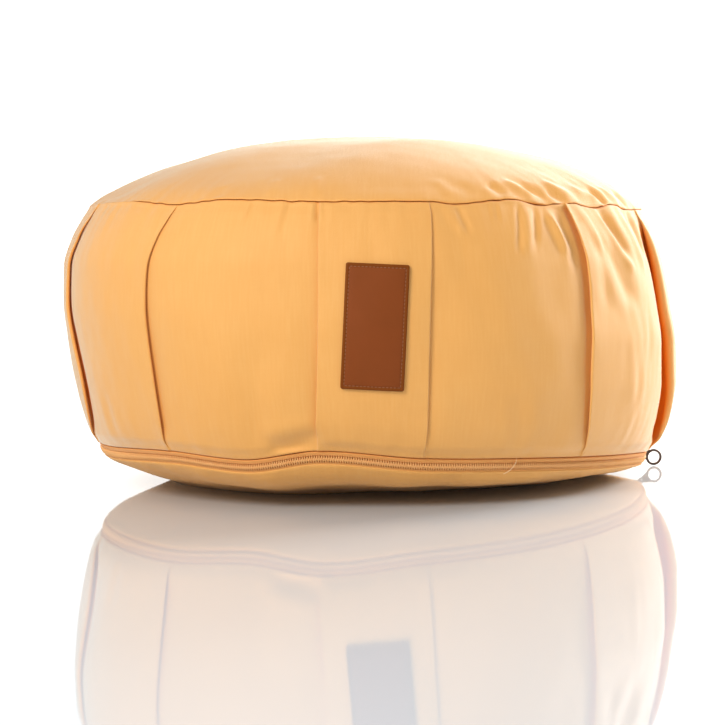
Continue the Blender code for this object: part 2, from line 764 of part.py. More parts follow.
def make_pull(collection, helpers):
    """A ring head on a tapered tab, with the small eye that hangs on the slider's bridge."""
    ring = torus_mesh("zip_pull", PULL_RING_RADIUS, PULL_RING_WIRE, 24, 2)
    ring.transform(pull_matrix() @ Matrix.Translation((PULL_LENGTH, 0, 0)))
    pull = place("zip_pull", ring, DARK_METAL, collection)
    eye = torus_mesh("pull_eye", EYE_RADIUS, EYE_WIRE, 12, 1)
    eye.transform(pull_matrix())
    join_to(pull, hidden(eye, "pull_eye", helpers))
    length = PULL_LENGTH - PULL_RING_RADIUS - EYE_RADIUS + JOIN_DEPTH
    tab = box_mesh("pull_tab", (length, PULL_TAB_WIDTH, PULL_TAB_THICKNESS), PULL_TAB_ROUND)
    for vertex in tab.vertices:
        if vertex.co.x < 0:
            vertex.co.y *= PULL_TAB_TAPER
    tab.transform(pull_matrix() @ Matrix.Translation((EYE_RADIUS + length / 2, 0, 0)))
    join_to(pull, hidden(tab, "pull_tab", helpers))
    return pull


def front_point(across, height):
    """The point of the front panel at this distance across and this height."""
    left, right = (fold for fold in FOLDS if fold.name.startswith("front_box"))
    azimuth = 0.0
    # Each pass comes closer to the azimuth where the panel is this far across.
    for _ in range(6):
        low, high = zip_line_height(azimuth), top_seam_height(azimuth)
        share = (height - low) / (high - low)
        first, last = edge_azimuth(left, share), edge_azimuth(right, share)
        radius = side_radius(azimuth, share) + panel_puff(azimuth, share, first, last)
        degrees = math.degrees(1 / radius)
        radius += settle(left, azimuth - first, share, degrees)
        radius += settle(right, azimuth - last, share, degrees)
        azimuth = math.degrees(math.asin(across / radius))
    return turned(azimuth, radius, height)


def front_surface(across, height):
    """A point of the front panel, and the way out of it."""
    step = 2 * MM
    sideways = front_point(across + step, height) - front_point(across - step, height)
    upward = front_point(across, height + step) - front_point(across, height - step)
    return front_point(across, height), sideways.cross(upward).normalized()


def make_patch(collection):
    """The leather patch, bent to the front panel that it is sewn on."""
    columns, rows = 4, 8
    shape = bmesh.new()
    bmesh.ops.create_grid(shape, x_segments=columns, y_segments=rows, size=0.5)
    tilt = math.radians(PATCH_TILT)
    for vertex in shape.verts:
        x, y = vertex.co.x * PATCH_WIDTH, vertex.co.y * PATCH_HEIGHT
        if abs(vertex.co.x) > 0.49 and abs(vertex.co.y) > 0.49:
            x -= math.copysign(PATCH_CORNER, x)
            y -= math.copysign(PATCH_CORNER, y)
        across = PATCH_ACROSS + x * math.cos(tilt) - y * math.sin(tilt)
        height = PATCH_MIDDLE_HEIGHT + x * math.sin(tilt) + y * math.cos(tilt)
        place_on, out = front_surface(across, height)
        vertex.co = place_on + out * PATCH_GAP
    mesh = bpy.data.meshes.new("leather_patch")
    shape.to_mesh(mesh)
    shape.free()
    patch = place("leather_patch", mesh, BROWN_LEATHER, collection)
    thickness = patch.modifiers.new("thickness", "SOLIDIFY")
    thickness.thickness = PATCH_THICKNESS
    thickness.offset = 1.0
    return patch


def build():
    clear_scene()
    cushion = bpy.data.collections.new("zafu_cushion")
    bpy.context.scene.collection.children.link(cushion)
    helpers = bpy.data.collections.new("joining_shapes")
    bpy.context.scene.collection.children.link(helpers)
    make_bottom_panel(cushion)
    make_side_band(cushion)
    make_top_panel(cushion)
    make_zip(cushion)
    make_slider(cushion, helpers)
    make_pull(cushion, helpers)
    make_patch(cushion)


build()
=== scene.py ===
import math
from collections import namedtuple

import bmesh
import bpy
import numpy as np
from mathutils import Matrix, Vector


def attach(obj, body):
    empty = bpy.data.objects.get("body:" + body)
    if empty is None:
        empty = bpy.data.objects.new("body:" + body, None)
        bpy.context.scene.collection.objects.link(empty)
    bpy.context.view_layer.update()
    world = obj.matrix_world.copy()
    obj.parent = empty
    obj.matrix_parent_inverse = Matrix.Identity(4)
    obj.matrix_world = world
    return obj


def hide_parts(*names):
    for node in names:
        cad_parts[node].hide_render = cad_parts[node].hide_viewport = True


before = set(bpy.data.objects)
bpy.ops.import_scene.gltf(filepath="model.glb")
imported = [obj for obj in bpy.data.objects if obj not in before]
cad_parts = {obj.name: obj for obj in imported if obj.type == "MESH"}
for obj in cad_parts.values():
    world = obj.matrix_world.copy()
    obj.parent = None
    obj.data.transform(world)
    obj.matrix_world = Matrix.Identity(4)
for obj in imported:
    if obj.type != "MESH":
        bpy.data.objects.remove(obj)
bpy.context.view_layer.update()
print("frame loaded")

mm = 0.001  # every size below is in millimetres and becomes metres when its mesh is made

# the filled body: an azimuth runs round from the patch towards the slider, a share runs up
# the side from the zip to the top seam
body = {
    "height": 187.5,
    # share, radius at the left, radius at the right
    "side": (
        (0.00, 151.0, 152.5), (0.05, 154.6, 157.6), (0.15, 157.7, 163.0), (0.30, 160.8, 166.2),
        (0.45, 163.2, 166.4), (0.60, 165.0, 163.8), (0.75, 164.8, 160.9), (0.87, 160.6, 157.2),
        (0.95, 155.6, 153.4), (1.00, 152.0, 151.0),
    ),
    # azimuth, height
    "topSeam": (
        (-140, 150.5), (-90, 152.0), (-52, 154.3), (-39, 152.0), (-28, 153.8), (-10, 151.8),
        (12, 150.6), (16, 149.2), (28, 151.0), (35, 147.8), (42, 148.7), (50, 146.0), (57, 147.6),
        (63, 144.8), (90, 144.5), (140, 147.5),
    ),
    "zipLine": (
        (-150, 21.0), (-100, 23.5), (-71, 25.2), (-43, 27.8), (-25, 25.4), (-10, 30.2), (9, 25.6),
        (31, 22.5), (43, 20.5), (65, 16.5), (88, 12.5), (104, 14.5), (150, 18.0),
    ),
}


# reads a smooth curve through (place, value) knots, which never overshoots them
def smoothCurve(knots, at):
    places, values = np.array(knots, float).T
    at = np.clip(np.asarray(at, float), places[0], places[-1])
    slopes = np.diff(values) / np.diff(places)
    before, after = np.append(0.0, slopes), np.append(slopes, 0.0)
    same = before * after > 0
    total = np.where(same, before + after, 1.0)
    tangents = np.where(same, 2 * before * after / total, 0.0)
    n = np.clip(np.searchsorted(places, at, side="right") - 1, 0, len(slopes) - 1)
    span = places[n + 1] - places[n]
    t = (at - places[n]) / span
    rise = t * t * (3 - 2 * t)
    bend = tangents[n] * t * (1 - t) ** 2 - tangents[n + 1] * t * t * (1 - t)
    return values[n] + (values[n + 1] - values[n]) * rise + span * bend


def halfTurn(azimuth):
    return (np.asarray(azimuth, float) + 180) % 360 - 180


# the same for a table that goes right round the cushion
def roundCurve(rows, azimuth, column=1):
    knots = [(row[0], row[column]) for row in rows]
    before = [(where - 360, value) for where, value in knots[-2:]]
    after = [(where + 360, value) for where, value in knots[:2]]
    return smoothCurve(before + knots + after, halfTurn(azimuth))


def smoothStep(value):
    value = np.clip(value, 0.0, 1.0)
    return value * value * (3 - 2 * value)


def topSeamHeight(azimuth):
    return roundCurve(body["topSeam"], azimuth)


def zipLineHeight(azimuth):
    return roundCurve(body["zipLine"], azimuth)


def sideRadius(azimuth, share):
    left = smoothCurve([(row[0], row[1]) for row in body["side"]], share)
    right = smoothCurve([(row[0], row[2]) for row in body["side"]], share)
    return (left + right) / 2 + np.sin(np.radians(azimuth)) * (right - left) / 2


def turned(azimuth, radius, height):
    angle = np.radians(azimuth)
    return np.stack(
        np.broadcast_arrays(radius * np.sin(angle), -radius * np.cos(angle), height), axis=-1
    )


# gentle waves through space, about 1 high, that give cloth its unevenness
def softWaves(seed, points, across, upright, count=14):
    rng = np.random.default_rng(seed)
    total = np.zeros(points.shape[:-1])
    for _ in range(count):
        heading = rng.uniform(0, 2 * math.pi)
        wave = rng.uniform(0.6, 1.7)
        pull = np.array((math.cos(heading) / across, math.sin(heading) / across, 0.0))
        pull[2] = rng.choice((-1, 1)) * rng.uniform(0.4, 1.2) / upright
        total += np.sin(points @ pull * (2 * math.pi / wave) + rng.uniform(0, 2 * math.pi))
    return total / math.sqrt(count / 2)


# small gathers where a seam holds the cloth: uneven round the seam, in so many waves
def gathers(seed, azimuth, fewest, most, count=26):
    rng = np.random.default_rng(seed)
    angle = np.radians(azimuth)
    total = np.zeros(np.shape(azimuth))
    for waves in rng.integers(fewest, most, count):
        total += np.sin(waves * angle + rng.uniform(0, 2 * math.pi))
    return total / math.sqrt(count / 2)


# soft troughs, or ridges where the depth is negative, each a straight run between two places
def creaseOut(rows, across, up, perAcross, perUp):
    out = np.zeros(np.broadcast(across, up).shape)
    for startAcross, startUp, endAcross, endUp, depth, halfWidth in rows:
        runAcross, runUp = (endAcross - startAcross) * perAcross, (endUp - startUp) * perUp
        hereAcross, hereUp = (across - startAcross) * perAcross, (up - startUp) * perUp
        along = (hereAcross * runAcross + hereUp * runUp) / (runAcross**2 + runUp**2)
        offLine = np.hypot(hereAcross - runAcross * along, hereUp - runUp * along) / halfWidth
        ends = smoothStep(along / 0.3) * smoothStep((1 - along) / 0.3) * (along > 0) * (along < 1)
        trough = np.exp(-(offLine**2))
        shoulders = 0.3 * np.exp(-((offLine - 1.9) ** 2))
        out -= depth * ends * (trough - shoulders)
    return out


def newObject(name, mesh, material):
    piece = bpy.data.objects.new(name, mesh)
    bpy.context.scene.collection.objects.link(piece)
    mesh.materials.clear()
    mesh.materials.append(material)
    mesh.shade_smooth()
    return piece


# a closed skin through rings of points, with a fan at each end; cloth is its map in millimetres
def ringSkin(name, rings, cloth, start, end, material):
    rows, columns = rings.shape[:2]
    points = np.vstack((rings.reshape(-1, 3), [start], [end])) * mm
    here = np.arange(rows * columns).reshape(rows, columns)
    beside = np.roll(here, -1, axis=1)
    quads = np.stack((here[:-1], beside[:-1], beside[1:], here[1:]), axis=-1).reshape(-1, 4)
    first, last = rows * columns, rows * columns + 1
    faces = quads.tolist()
    faces += [(int(b), int(a), first) for a, b in zip(here[0], beside[0])]
    faces += [(int(a), int(b), last) for a, b in zip(here[-1], beside[-1])]
    mesh = bpy.data.meshes.new(name)
    mesh.from_pydata(points.tolist(), [], faces)
    layer = mesh.uv_layers.new(name="cloth")
    flat = np.stack((cloth[:-1, :-1], cloth[:-1, 1:], cloth[1:, 1:], cloth[1:, :-1]), axis=2)
    flat = flat.reshape(-1, 2)
    fans = np.zeros((len(mesh.loops) - len(flat), 2))
    layer.data.foreach_set("uv", np.vstack((flat, fans)).astype(np.float32).ravel())
    return newObject(name, mesh, material)


print("shape functions ready")


# looks of the cloth
clothFinish = {
    "colour": (0.855, 0.408, 0.092),
    "slubColour": (0.885, 0.456, 0.122),
    "deepColour": (0.825, 0.371, 0.072),
    "foldShadeColour": (0.84, 0.265, 0.018),  # painted shade, where the cloth lies deep in a fold or at a seam
    "threadPitch": 0.5,
    "weaveHeight": 0.07,
    "slubHeight": 0.10,
    "roughness": 0.62, "specular": 0.6,
    "sheen": 0.72, "sheenRoughness": 0.40, "sheenTint": (0.93, 1.0, 0.95, 1.0),
    # less sheen on the underside than elsewhere: painted shade
    "underneathShadeSheen": 0.15,
    "shadedCottonShares": (0.65, 0.3, 0.0),  # of the sheen in shaded copies of the cotton, by how deep the cloth lies in a fold: painted shade
}


def newMaterial(name):
    made = bpy.data.materials.new(name)
    made.use_nodes = True
    nodes = made.node_tree.nodes
    return made, nodes, made.node_tree.links, nodes["Principled BSDF"]


# sets a socket to a number, or joins it to the output of another node
def feed(links, socket, value):
    if isinstance(value, (int, float)):
        socket.default_value = value
    else:
        links.new(value, socket)


def mathNode(nodes, links, operation, *values):
    made = nodes.new("ShaderNodeMath")
    made.operation = operation
    for socket, value in zip(made.inputs, values):
        feed(links, socket, value)
    return made.outputs[0]


# moves a value from one span to another
def rangeNode(nodes, links, value, low, high, least, most, curve="LINEAR"):
    made = nodes.new("ShaderNodeMapRange")
    made.interpolation_type = curve
    feed(links, made.inputs["Value"], value)
    feed(links, made.inputs["From Min"], low)
    feed(links, made.inputs["From Max"], high)
    feed(links, made.inputs["To Min"], least)
    feed(links, made.inputs["To Max"], most)
    return made.outputs[0]


def noiseNode(nodes, links, vector, scale, detail, roughness=0.5):
    made = nodes.new("ShaderNodeTexNoise")
    made.inputs["Scale"].default_value = scale
    made.inputs["Detail"].default_value = detail
    made.inputs["Roughness"].default_value = roughness
    links.new(vector, made.inputs["Vector"])
    return made.outputs[0]


def stretched(nodes, links, vector, scale):
    made = nodes.new("ShaderNodeMapping")
    made.inputs["Scale"].default_value = scale
    links.new(vector, made.inputs["Vector"])
    return made.outputs[0]


def mixColour(nodes, links, factor, first, second):
    made = nodes.new("ShaderNodeMix")
    made.data_type = "RGBA"
    links.new(factor, made.inputs["Factor"])
    for socket, value in ((made.inputs["A"], first), (made.inputs["B"], second)):
        if isinstance(value, tuple):
            socket.default_value = (*value, 1.0)
        else:
            links.new(value, socket)
    return made.outputs["Result"]


def bumpNode(nodes, links, height, distance, strength, under=None):
    made = nodes.new("ShaderNodeBump")
    made.inputs["Distance"].default_value = distance * mm
    made.inputs["Strength"].default_value = strength
    links.new(height, made.inputs["Height"])
    if under is not None:
        links.new(under, made.inputs["Normal"])
    return made.outputs["Normal"]


def clothMap(nodes):
    made = nodes.new("ShaderNodeUVMap")
    made.uv_map = "cloth"
    return made.outputs[0]


# threads that pass over and under each other, from a map in millimetres
def plainWeave(nodes, links, place, pitch):
    split = nodes.new("ShaderNodeSeparateXYZ")
    links.new(place, split.inputs[0])
    waves = []
    for axis in (0, 1):
        turns = mathNode(nodes, links, "MULTIPLY", split.outputs[axis], math.pi / pitch)
        waves.append(mathNode(nodes, links, "SINE", turns))
    both = mathNode(nodes, links, "MULTIPLY", *waves)
    over = mathNode(nodes, links, "GREATER_THAN", both, 0.0)
    warp = mathNode(nodes, links, "MULTIPLY", mathNode(nodes, links, "ABSOLUTE", waves[0]), over)
    under = mathNode(nodes, links, "SUBTRACT", 1.0, over)
    weft = mathNode(nodes, links, "MULTIPLY", mathNode(nodes, links, "ABSOLUTE", waves[1]), under)
    return mathNode(nodes, links, "ADD", warp, weft)


def cottonMaterial(name, sheen):
    made, nodes, links, shader = newMaterial(name)
    place = clothMap(nodes)
    uprightSlubs = noiseNode(nodes, links, stretched(nodes, links, place, (0.9, 0.06, 1)), 1.0, 3)
    crossSlubs = noiseNode(nodes, links, stretched(nodes, links, place, (0.07, 1.1, 1)), 1.0, 2)
    patches = noiseNode(nodes, links, stretched(nodes, links, place, (0.03, 0.03, 1)), 1.0, 3)
    slubs = mathNode(nodes, links, "ADD", mathNode(nodes, links, "MULTIPLY", uprightSlubs, 0.8),
                     mathNode(nodes, links, "MULTIPLY", crossSlubs, 0.2))
    fine = rangeNode(nodes, links, slubs, 0.42, 0.66, 0.0, 0.5)
    broad = rangeNode(nodes, links, patches, 0.35, 0.7, 0.0, 0.3)
    colour = mixColour(nodes, links, fine, clothFinish["colour"], clothFinish["slubColour"])
    colour = mixColour(nodes, links, broad, colour, clothFinish["deepColour"])
    # painted shade: the colour darkens where the cloth lies deep in a fold or at a seam
    foldShade = nodes.new("ShaderNodeAttribute")
    foldShade.attribute_name = "foldShade"
    colour = mixColour(nodes, links, foldShade.outputs["Fac"], colour, clothFinish["foldShadeColour"])
    links.new(colour, shader.inputs["Base Color"])
    shader.inputs["Roughness"].default_value = clothFinish["roughness"]
    shader.inputs["Specular IOR Level"].default_value = clothFinish["specular"]
    shader.inputs["Sheen Weight"].default_value = sheen
    shader.inputs["Sheen Roughness"].default_value = clothFinish["sheenRoughness"]
    shader.inputs["Sheen Tint"].default_value = clothFinish["sheenTint"]
    weave = plainWeave(nodes, links, place, clothFinish["threadPitch"])
    raised = bumpNode(nodes, links, slubs, clothFinish["slubHeight"], 0.6)
    raised = bumpNode(nodes, links, weave, clothFinish["weaveHeight"], 0.5, raised)
    links.new(raised, shader.inputs["Normal"])
    return made


cotton = cottonMaterial("apricotCotton", clothFinish["sheen"])
# copies of the cotton with less sheen, for painted shade in folds and seams
shadedCottons = [
    cottonMaterial("apricotCottonShaded", clothFinish["sheen"] * share)
    for share in clothFinish["shadedCottonShares"]
]


# faces that lie deeper in a fold or a seam get shaded copies of the cotton, with less sheen, in a few
# steps: painted shade
def shadeDeepFaces(piece, foldShade):
    for material in shadedCottons:
        piece.data.materials.append(material)
    for face in piece.data.polygons:
        depth = sum(foldShade[corner] for corner in face.vertices) / len(face.vertices)
        face.material_index = min(3, int(depth * 4 + 0.5))


# stores the painted shade of folds and seams on the points, and gives the faces their shaded copies
def keepFoldShade(piece, foldShade):
    kept = piece.data.attributes.new("foldShade", "FLOAT", "POINT")
    kept.data.foreach_set("value", foldShade.astype(np.float32))
    shadeDeepFaces(piece, foldShade)


# the pleated side band
foldRow = namedtuple(
    "foldRow",
    "top high low foot facing lift sinkLow sinkHigh spread roll tuck topEnd stations",
)
band = {
    # azimuths of the folded edge at the top seam, two thirds up, one third up and at the zip;
    # the way it faces; how far it stands out; how far the cloth ahead sinks low down and high up;
    # the spread of that; thickness of the rolled edge; depth of the tuck; share over which it
    # opens below the top seam; stations in the panel ahead
    "folds": (
        foldRow(-170.5, -170.5, -170.5, -170.5, 1, 1.6, 0.8, 0.8, 9, 1.5, 5, 0.10, 20),
        foldRow(-138.3, -138.9, -138.9, -138.3, 1, 2.0, 1.2, 1.2, 9, 1.7, 6, 0.10, 34),
        foldRow(-106.1, -107.3, -107.4, -106.5, 1, 2.2, 1.4, 1.4, 9, 1.8, 6, 0.10, 40),
        foldRow(-67.5, -76.0, -73.9, -78.0, 1, 1.0, 3.4, 1.4, 9, 1.9, 7, 0.12, 52),
        foldRow(-38.4, -42.1, -42.0, -42.6, 1, 1.7, 1.6, 0.3, 9, 1.4, 6, 0.06, 58),
        foldRow(-8.9, -8.6, -9.1, -10.4, -1, 1.5, 1.4, 0.6, 9, 1.4, 5, 0.07, 24),
        foldRow(11.6, 10.4, 9.7, 9.6, 1, 1.5, 0.6, 0.6, 9, 1.4, 5, 0.04, 52),
        foldRow(40.6, 41.8, 41.0, 43.8, -1, 2.4, 1.7, 2.2, 6, 1.6, 6, 0.03, 66),
        foldRow(69.0, 76.0, 77.5, 82.0, -1, 0.6, 17.0, 5.5, 15, 6.0, 11, 0.16, 40),
        foldRow(106.1, 107.3, 107.4, 106.5, -1, 2.2, 1.4, 1.4, 9, 1.8, 6, 0.10, 44),
        foldRow(138.3, 138.9, 138.9, 138.3, -1, 2.0, 1.2, 1.2, 9, 1.7, 6, 0.10, 34),
        foldRow(170.5, 170.5, 170.5, 170.5, -1, 1.6, 0.8, 0.8, 9, 1.5, 5, 0.10, 20),
    ),
    "liftFade": 18.0, "sinkRise": 0.8, "bowAtSeams": 0.45, "footEnd": 0.12, "reach": 12.0,
    # a fold where the seam holds it flat: distance ahead of its edge, and out
    "sewn": (
        (-12, 0.0), (-4, 0.3), (-1.2, 0.5), (-0.8, 0.45), (-0.4, 0.2), (0, -0.1), (0.5, -0.3),
        (4, -0.1), (12, 0.0),
    ),
    "puff": 2.0,
    "seamRound": 1.6,  # height over which the cloth turns in to a seam
    "flange": 2.5,
    "rows": 100,
    "meanRadius": 158.0, "meanHeight": 125.0,
    # azimuth and height where a crease starts and ends, its depth (a ridge where negative), half width
    "creases": (
        (34.9, 149.0, 38.8, 121.0, -1.7, 2.6), (38.2, 147.5, 40.2, 112.0, 1.3, 3.2),
        (29.5, 151.5, 26.6, 122.0, 0.9, 1.6), (33.4, 149.5, 30.6, 127.0, 0.8, 1.6),
        (31.3, 151.0, 28.6, 121.0, -0.7, 2.2), (24.4, 151.0, 24.0, 139.0, 0.5, 1.1),
        (14.6, 150.5, 17.2, 133.0, -0.8, 1.8), (16.8, 149.5, 18.6, 134.0, 0.5, 1.6),
        (50.4, 148.0, 56.2, 117.0, 2.3, 4.4), (48.0, 133.0, 55.0, 92.0, 1.5, 5.4),
        (48.4, 148.5, 56.6, 110.0, -1.3, 2.6), (46.6, 134.0, 46.0, 92.0, 0.8, 4.2),
        (57.5, 147.5, 62.5, 110.0, -1.2, 3.4), (62.5, 145.5, 67.0, 118.0, 1.6, 3.0),
        (44.2, 149.0, 47.6, 120.0, -0.8, 2.4),
        (-19.0, 92.0, -21.8, 22.0, 1.2, 8.0), (-7.6, 38.5, -20.5, 31.0, 2.4, 4.2),
        (-12.0, 31.2, -19.5, 28.6, -0.8, 1.8), (-21.3, 154.5, -21.9, 142.0, 0.6, 1.1),
        (-14.4, 153.5, -15.6, 133.0, 0.4, 1.6), (-9.4, 155.5, -9.0, 141.0, 1.6, 1.0),
        (60.0, 96.0, 58.0, 32.0, 0.35, 3.8), (52.5, 88.0, 53.0, 40.0, -0.3, 4.4),
        (64.5, 84.0, 63.0, 36.0, -0.15, 3.0),
        (-59.0, 60.0, -58.0, 30.0, 0.5, 4.0), (25.0, 60.0, 28.0, 26.0, 0.6, 5.0),
        (92.0, 144.0, 95.0, 112.0, 1.4, 3.6), (98.0, 144.0, 96.0, 118.0, -0.8, 3.0),
        (-92.0, 151.0, -90.0, 122.0, 1.0, 3.6), (-121.0, 150.0, -124.0, 124.0, 0.9, 3.2),
        (122.0, 145.5, 119.0, 116.0, 1.0, 3.4), (154.0, 148.0, 156.0, 128.0, 0.8, 2.8),
        (-156.0, 149.0, -153.0, 124.0, 0.9, 3.0), (-86.0, 58.0, -88.0, 27.0, 0.9, 5.0),
        (120.0, 54.0, 124.0, 20.0, 1.0, 5.0), (-150.0, 52.0, -147.0, 24.0, 0.8, 4.5),
        (176.0, 148.5, 178.0, 120.0, 0.6, 3.0),
        (-112.0, 150.5, -113.6, 128.0, 1.0, 1.8), (-130.5, 150.0, -128.0, 116.0, 1.2, 2.6),
        (-146.0, 149.0, -148.0, 124.0, 0.9, 1.8), (-165.5, 149.0, -166.6, 130.0, 0.8, 1.6),
        (-98.0, 102.0, -101.0, 38.0, 0.8, 7.0), (-160.0, 92.0, -162.5, 34.0, 0.8, 7.0),
        (-133.0, 60.0, -127.0, 26.0, 1.3, 3.6), (-176.0, 46.0, -172.0, 24.0, 1.1, 3.4),
        (113.0, 145.0, 110.0, 118.0, 1.3, 2.4), (116.5, 145.5, 116.0, 126.0, -0.7, 2.0),
        (131.0, 146.5, 133.5, 122.0, 1.1, 2.2), (146.0, 147.5, 144.0, 122.0, 1.0, 2.0),
        (163.0, 148.5, 165.0, 128.0, 0.9, 1.8), (87.0, 143.5, 88.0, 120.0, 1.1, 2.2),
        (128.0, 98.0, 125.0, 36.0, 0.8, 7.0), (160.0, 96.0, 163.0, 40.0, 0.7, 8.0),
        (99.0, 74.0, 103.0, 22.0, 1.1, 4.4), (149.0, 50.0, 155.0, 22.0, 1.2, 3.6),
    ),
}

# where the top seam bites deep, by azimuth
seamBite = (
    (-180, 0.9), (-120, 0.8), (-78, 0.45), (-70, 0.05), (-54, 0.05), (-48, 0.9), (-20, 1.1),
    (12, 1.2), (34, 1.2), (37, 0.5), (41, 0.8), (55, 1.1), (66, 0.7), (90, 0.8), (140, 0.9),
)


def edgeAzimuth(fold, share):
    places = ((0.0, fold.foot), (1 / 3, fold.low), (2 / 3, fold.high), (1.0, fold.top))
    azimuth = 0.0
    for at, stated in places:
        weight = 1.0
        for other, _ in places:
            if other != at:
                weight = weight * (share - other) / (at - other)
        azimuth = azimuth + weight * stated
    return azimuth


def openness(fold, share):
    return smoothStep(share / band["footEnd"]) * smoothStep((1 - share) / fold.topEnd)


def foldBow(share):
    least = band["bowAtSeams"]
    return least + (1 - least) * np.sin(np.pi * np.clip(share, 0, 1))


def foldLift(fold, share, distance):
    return fold.lift * foldBow(share) * np.exp(-distance / band["liftFade"])


def foldSink(fold, share, distance):
    low = smoothStep((1 - share) / band["sinkRise"])
    depth = fold.sinkHigh + (fold.sinkLow - fold.sinkHigh) * low
    return depth * np.exp(-distance / fold.spread)


# how far a panel that ends at a fold is moved out, at an azimuth on either side of its edge
def settle(fold, turn, share, degree):
    distance = fold.facing * turn / degree
    lifted = foldLift(fold, share, np.maximum(-distance, 0))
    sunk = -foldSink(fold, share, np.maximum(distance, 0))
    return np.where(distance < 0, lifted, sunk) * openness(fold, share)


# across a fold: from the covering panel over its rolled edge, into the tuck and out along the
# covered panel; returns distances ahead of the edge and out from the side, a row for each share
def foldPath(fold, share):
    reach = band["reach"]
    lift = foldLift(fold, share, 0)
    sink = foldSink(fold, share, 0.5)
    radius = fold.roll * foldBow(share) / 2
    inner = (lift - 2 * radius - sink) / 2
    ahead, out, index = [], [], []

    def add(where, height, at):
        ahead.append(where + 0 * share)
        out.append(height + 0 * share)
        index.append(at)

    for away in (1.0, 0.76, 0.56, 0.4, 0.27, 0.16, 0.08, 0.02):
        distance = reach * away
        add(-radius - (reach - radius) * away, foldLift(fold, share, distance),
            float(np.interp(distance, (0, 4, 12), (2, 1, 0))))
    for degrees in (80, 52, 26, 0, -26, -52, -80):
        slant = math.radians(degrees)
        add(radius * (math.cos(slant) - 1), lift + radius * (math.sin(slant) - 1),
            3 - degrees / 90)
    for t in (0.3, 0.7):
        add(-radius - (fold.tuck - radius) * t, lift - 2 * radius + (inner - lift + 2 * radius) * t, 4 + t)
    add(-fold.tuck, inner, 5)
    for t in (0.3, 0.65):
        add(-fold.tuck + (fold.tuck + 0.5) * t, inner + (-sink - inner) * t, 5 + t)
    for distance in (0.5, 1.4, 2.6, 4.2, 6.4, 9.0, 12.0):
        add(distance, -foldSink(fold, share, distance),
            float(np.interp(distance, (0.5, 4, 12), (6, 7, 8))))
    ahead, out = np.concatenate(ahead, axis=1), np.concatenate(out, axis=1)
    sewnAhead = np.interp(index, range(9), [row[0] for row in band["sewn"]])
    sewnOut = np.interp(index, range(9), [row[1] for row in band["sewn"]])
    free = openness(fold, share)
    return sewnAhead + (ahead - sewnAhead) * free, sewnOut + (out - sewnOut) * free, 18


# the band's outline at each share, as azimuths and distances out from the side, once round
def bandSection(shares):
    share = np.asarray(shares, float).reshape(-1, 1)
    folds = band["folds"]
    edges = [edgeAzimuth(fold, share) for fold in folds]
    azimuths, outs = [], []
    for i, fold in enumerate(folds):
        following = folds[(i + 1) % len(folds)]
        previous = folds[i - 1]
        ahead = edges[(i + 1) % len(folds)] + (360 if i == len(folds) - 1 else 0)
        behind = edges[i - 1] - (360 if i == 0 else 0)
        degree = np.degrees(1 / sideRadius(edges[i], share))
        distance, out, covering = foldPath(fold, share)
        if fold.facing < 0:
            distance, out = distance[:, ::-1], out[:, ::-1]
            covering = distance.shape[1] - covering
        azimuth = edges[i] + fold.facing * distance * degree
        onward = np.arange(distance.shape[1]) >= covering
        first = np.where(onward, edges[i], behind)
        last = np.where(onward, ahead, edges[i])
        out = out + np.where(onward, settle(following, azimuth - ahead, share, degree),
                             settle(previous, azimuth - behind, share, degree))
        out = out + panelPuff(azimuth, share, first, last)
        azimuths.append(azimuth)
        outs.append(out)
        start, end = azimuth[:, -1:], ahead - band["reach"] * degree
        steps = np.arange(1, fold.stations + 1) / (fold.stations + 1)
        azimuth = start + (end - start) * steps
        out = panelPuff(azimuth, share, edges[i], ahead)
        out = out + settle(fold, azimuth - edges[i], share, degree)
        out = out + settle(following, azimuth - ahead, share, degree)
        azimuths.append(azimuth)
        outs.append(out)
    return np.concatenate(azimuths, axis=1), np.concatenate(outs, axis=1)


def panelPuff(azimuth, share, first, last):
    across = np.clip((azimuth - first) / (last - first), 0, 1)
    return band["puff"] * np.sin(np.pi * across) * 4 * share * (1 - share)


# the listed creases, gathers at both seams and a gentle unevenness, all moved straight out
def clothUnevenness(azimuth, height, top, foot):
    around = halfTurn(azimuth)
    perDegree = math.radians(1) * band["meanRadius"]
    out = creaseOut(band["creases"], around, height, perDegree, 1.0)
    fromTop, fromFoot = np.maximum(top - height, 0), np.maximum(height - foot, 0)
    out = out + 0.22 * gathers(11, azimuth, 38, 120) * np.exp(-fromTop / 9) * smoothStep(fromTop / 3)
    out = out + 0.16 * gathers(12, azimuth, 30, 90) * np.exp(-fromFoot / 8) * smoothStep(fromFoot / 3)
    points = turned(azimuth, band["meanRadius"], height)
    calm = smoothStep(fromTop / 8) * smoothStep(fromFoot / 8)
    out = out + 0.30 * softWaves(21, points, 46, 110) * calm
    out = out + 0.10 * softWaves(22, points, 15, 46) * calm
    crumpled = np.exp(-(((around - 57) / 7) ** 2)) * smoothStep((118 - height) / 30) * calm
    out = out + 0.10 * softWaves(23, points, 7, 34) * crumpled
    return out


def seamLineWobble(azimuth):
    return 0.10 * gathers(31, azimuth, 40, 130)


# how far the cloth turns in, at a height from the seam that holds it
def turnIn(fromSeam, bite):
    t = np.clip(1 - fromSeam / band["seamRound"], 0, 1)
    return bite * (1 - np.sqrt(np.maximum(1 - t * t, 0)))


def bandRows():
    near = np.array((0.0, 0.12, 0.3, 0.6, 1.0, 1.5, 2.1, 3.0, 4.2)) / band["meanHeight"]
    middle = np.linspace(near[-1], 1 - near[-1], band["rows"])[1:-1]
    return np.concatenate((near, middle, 1 - near[::-1]))


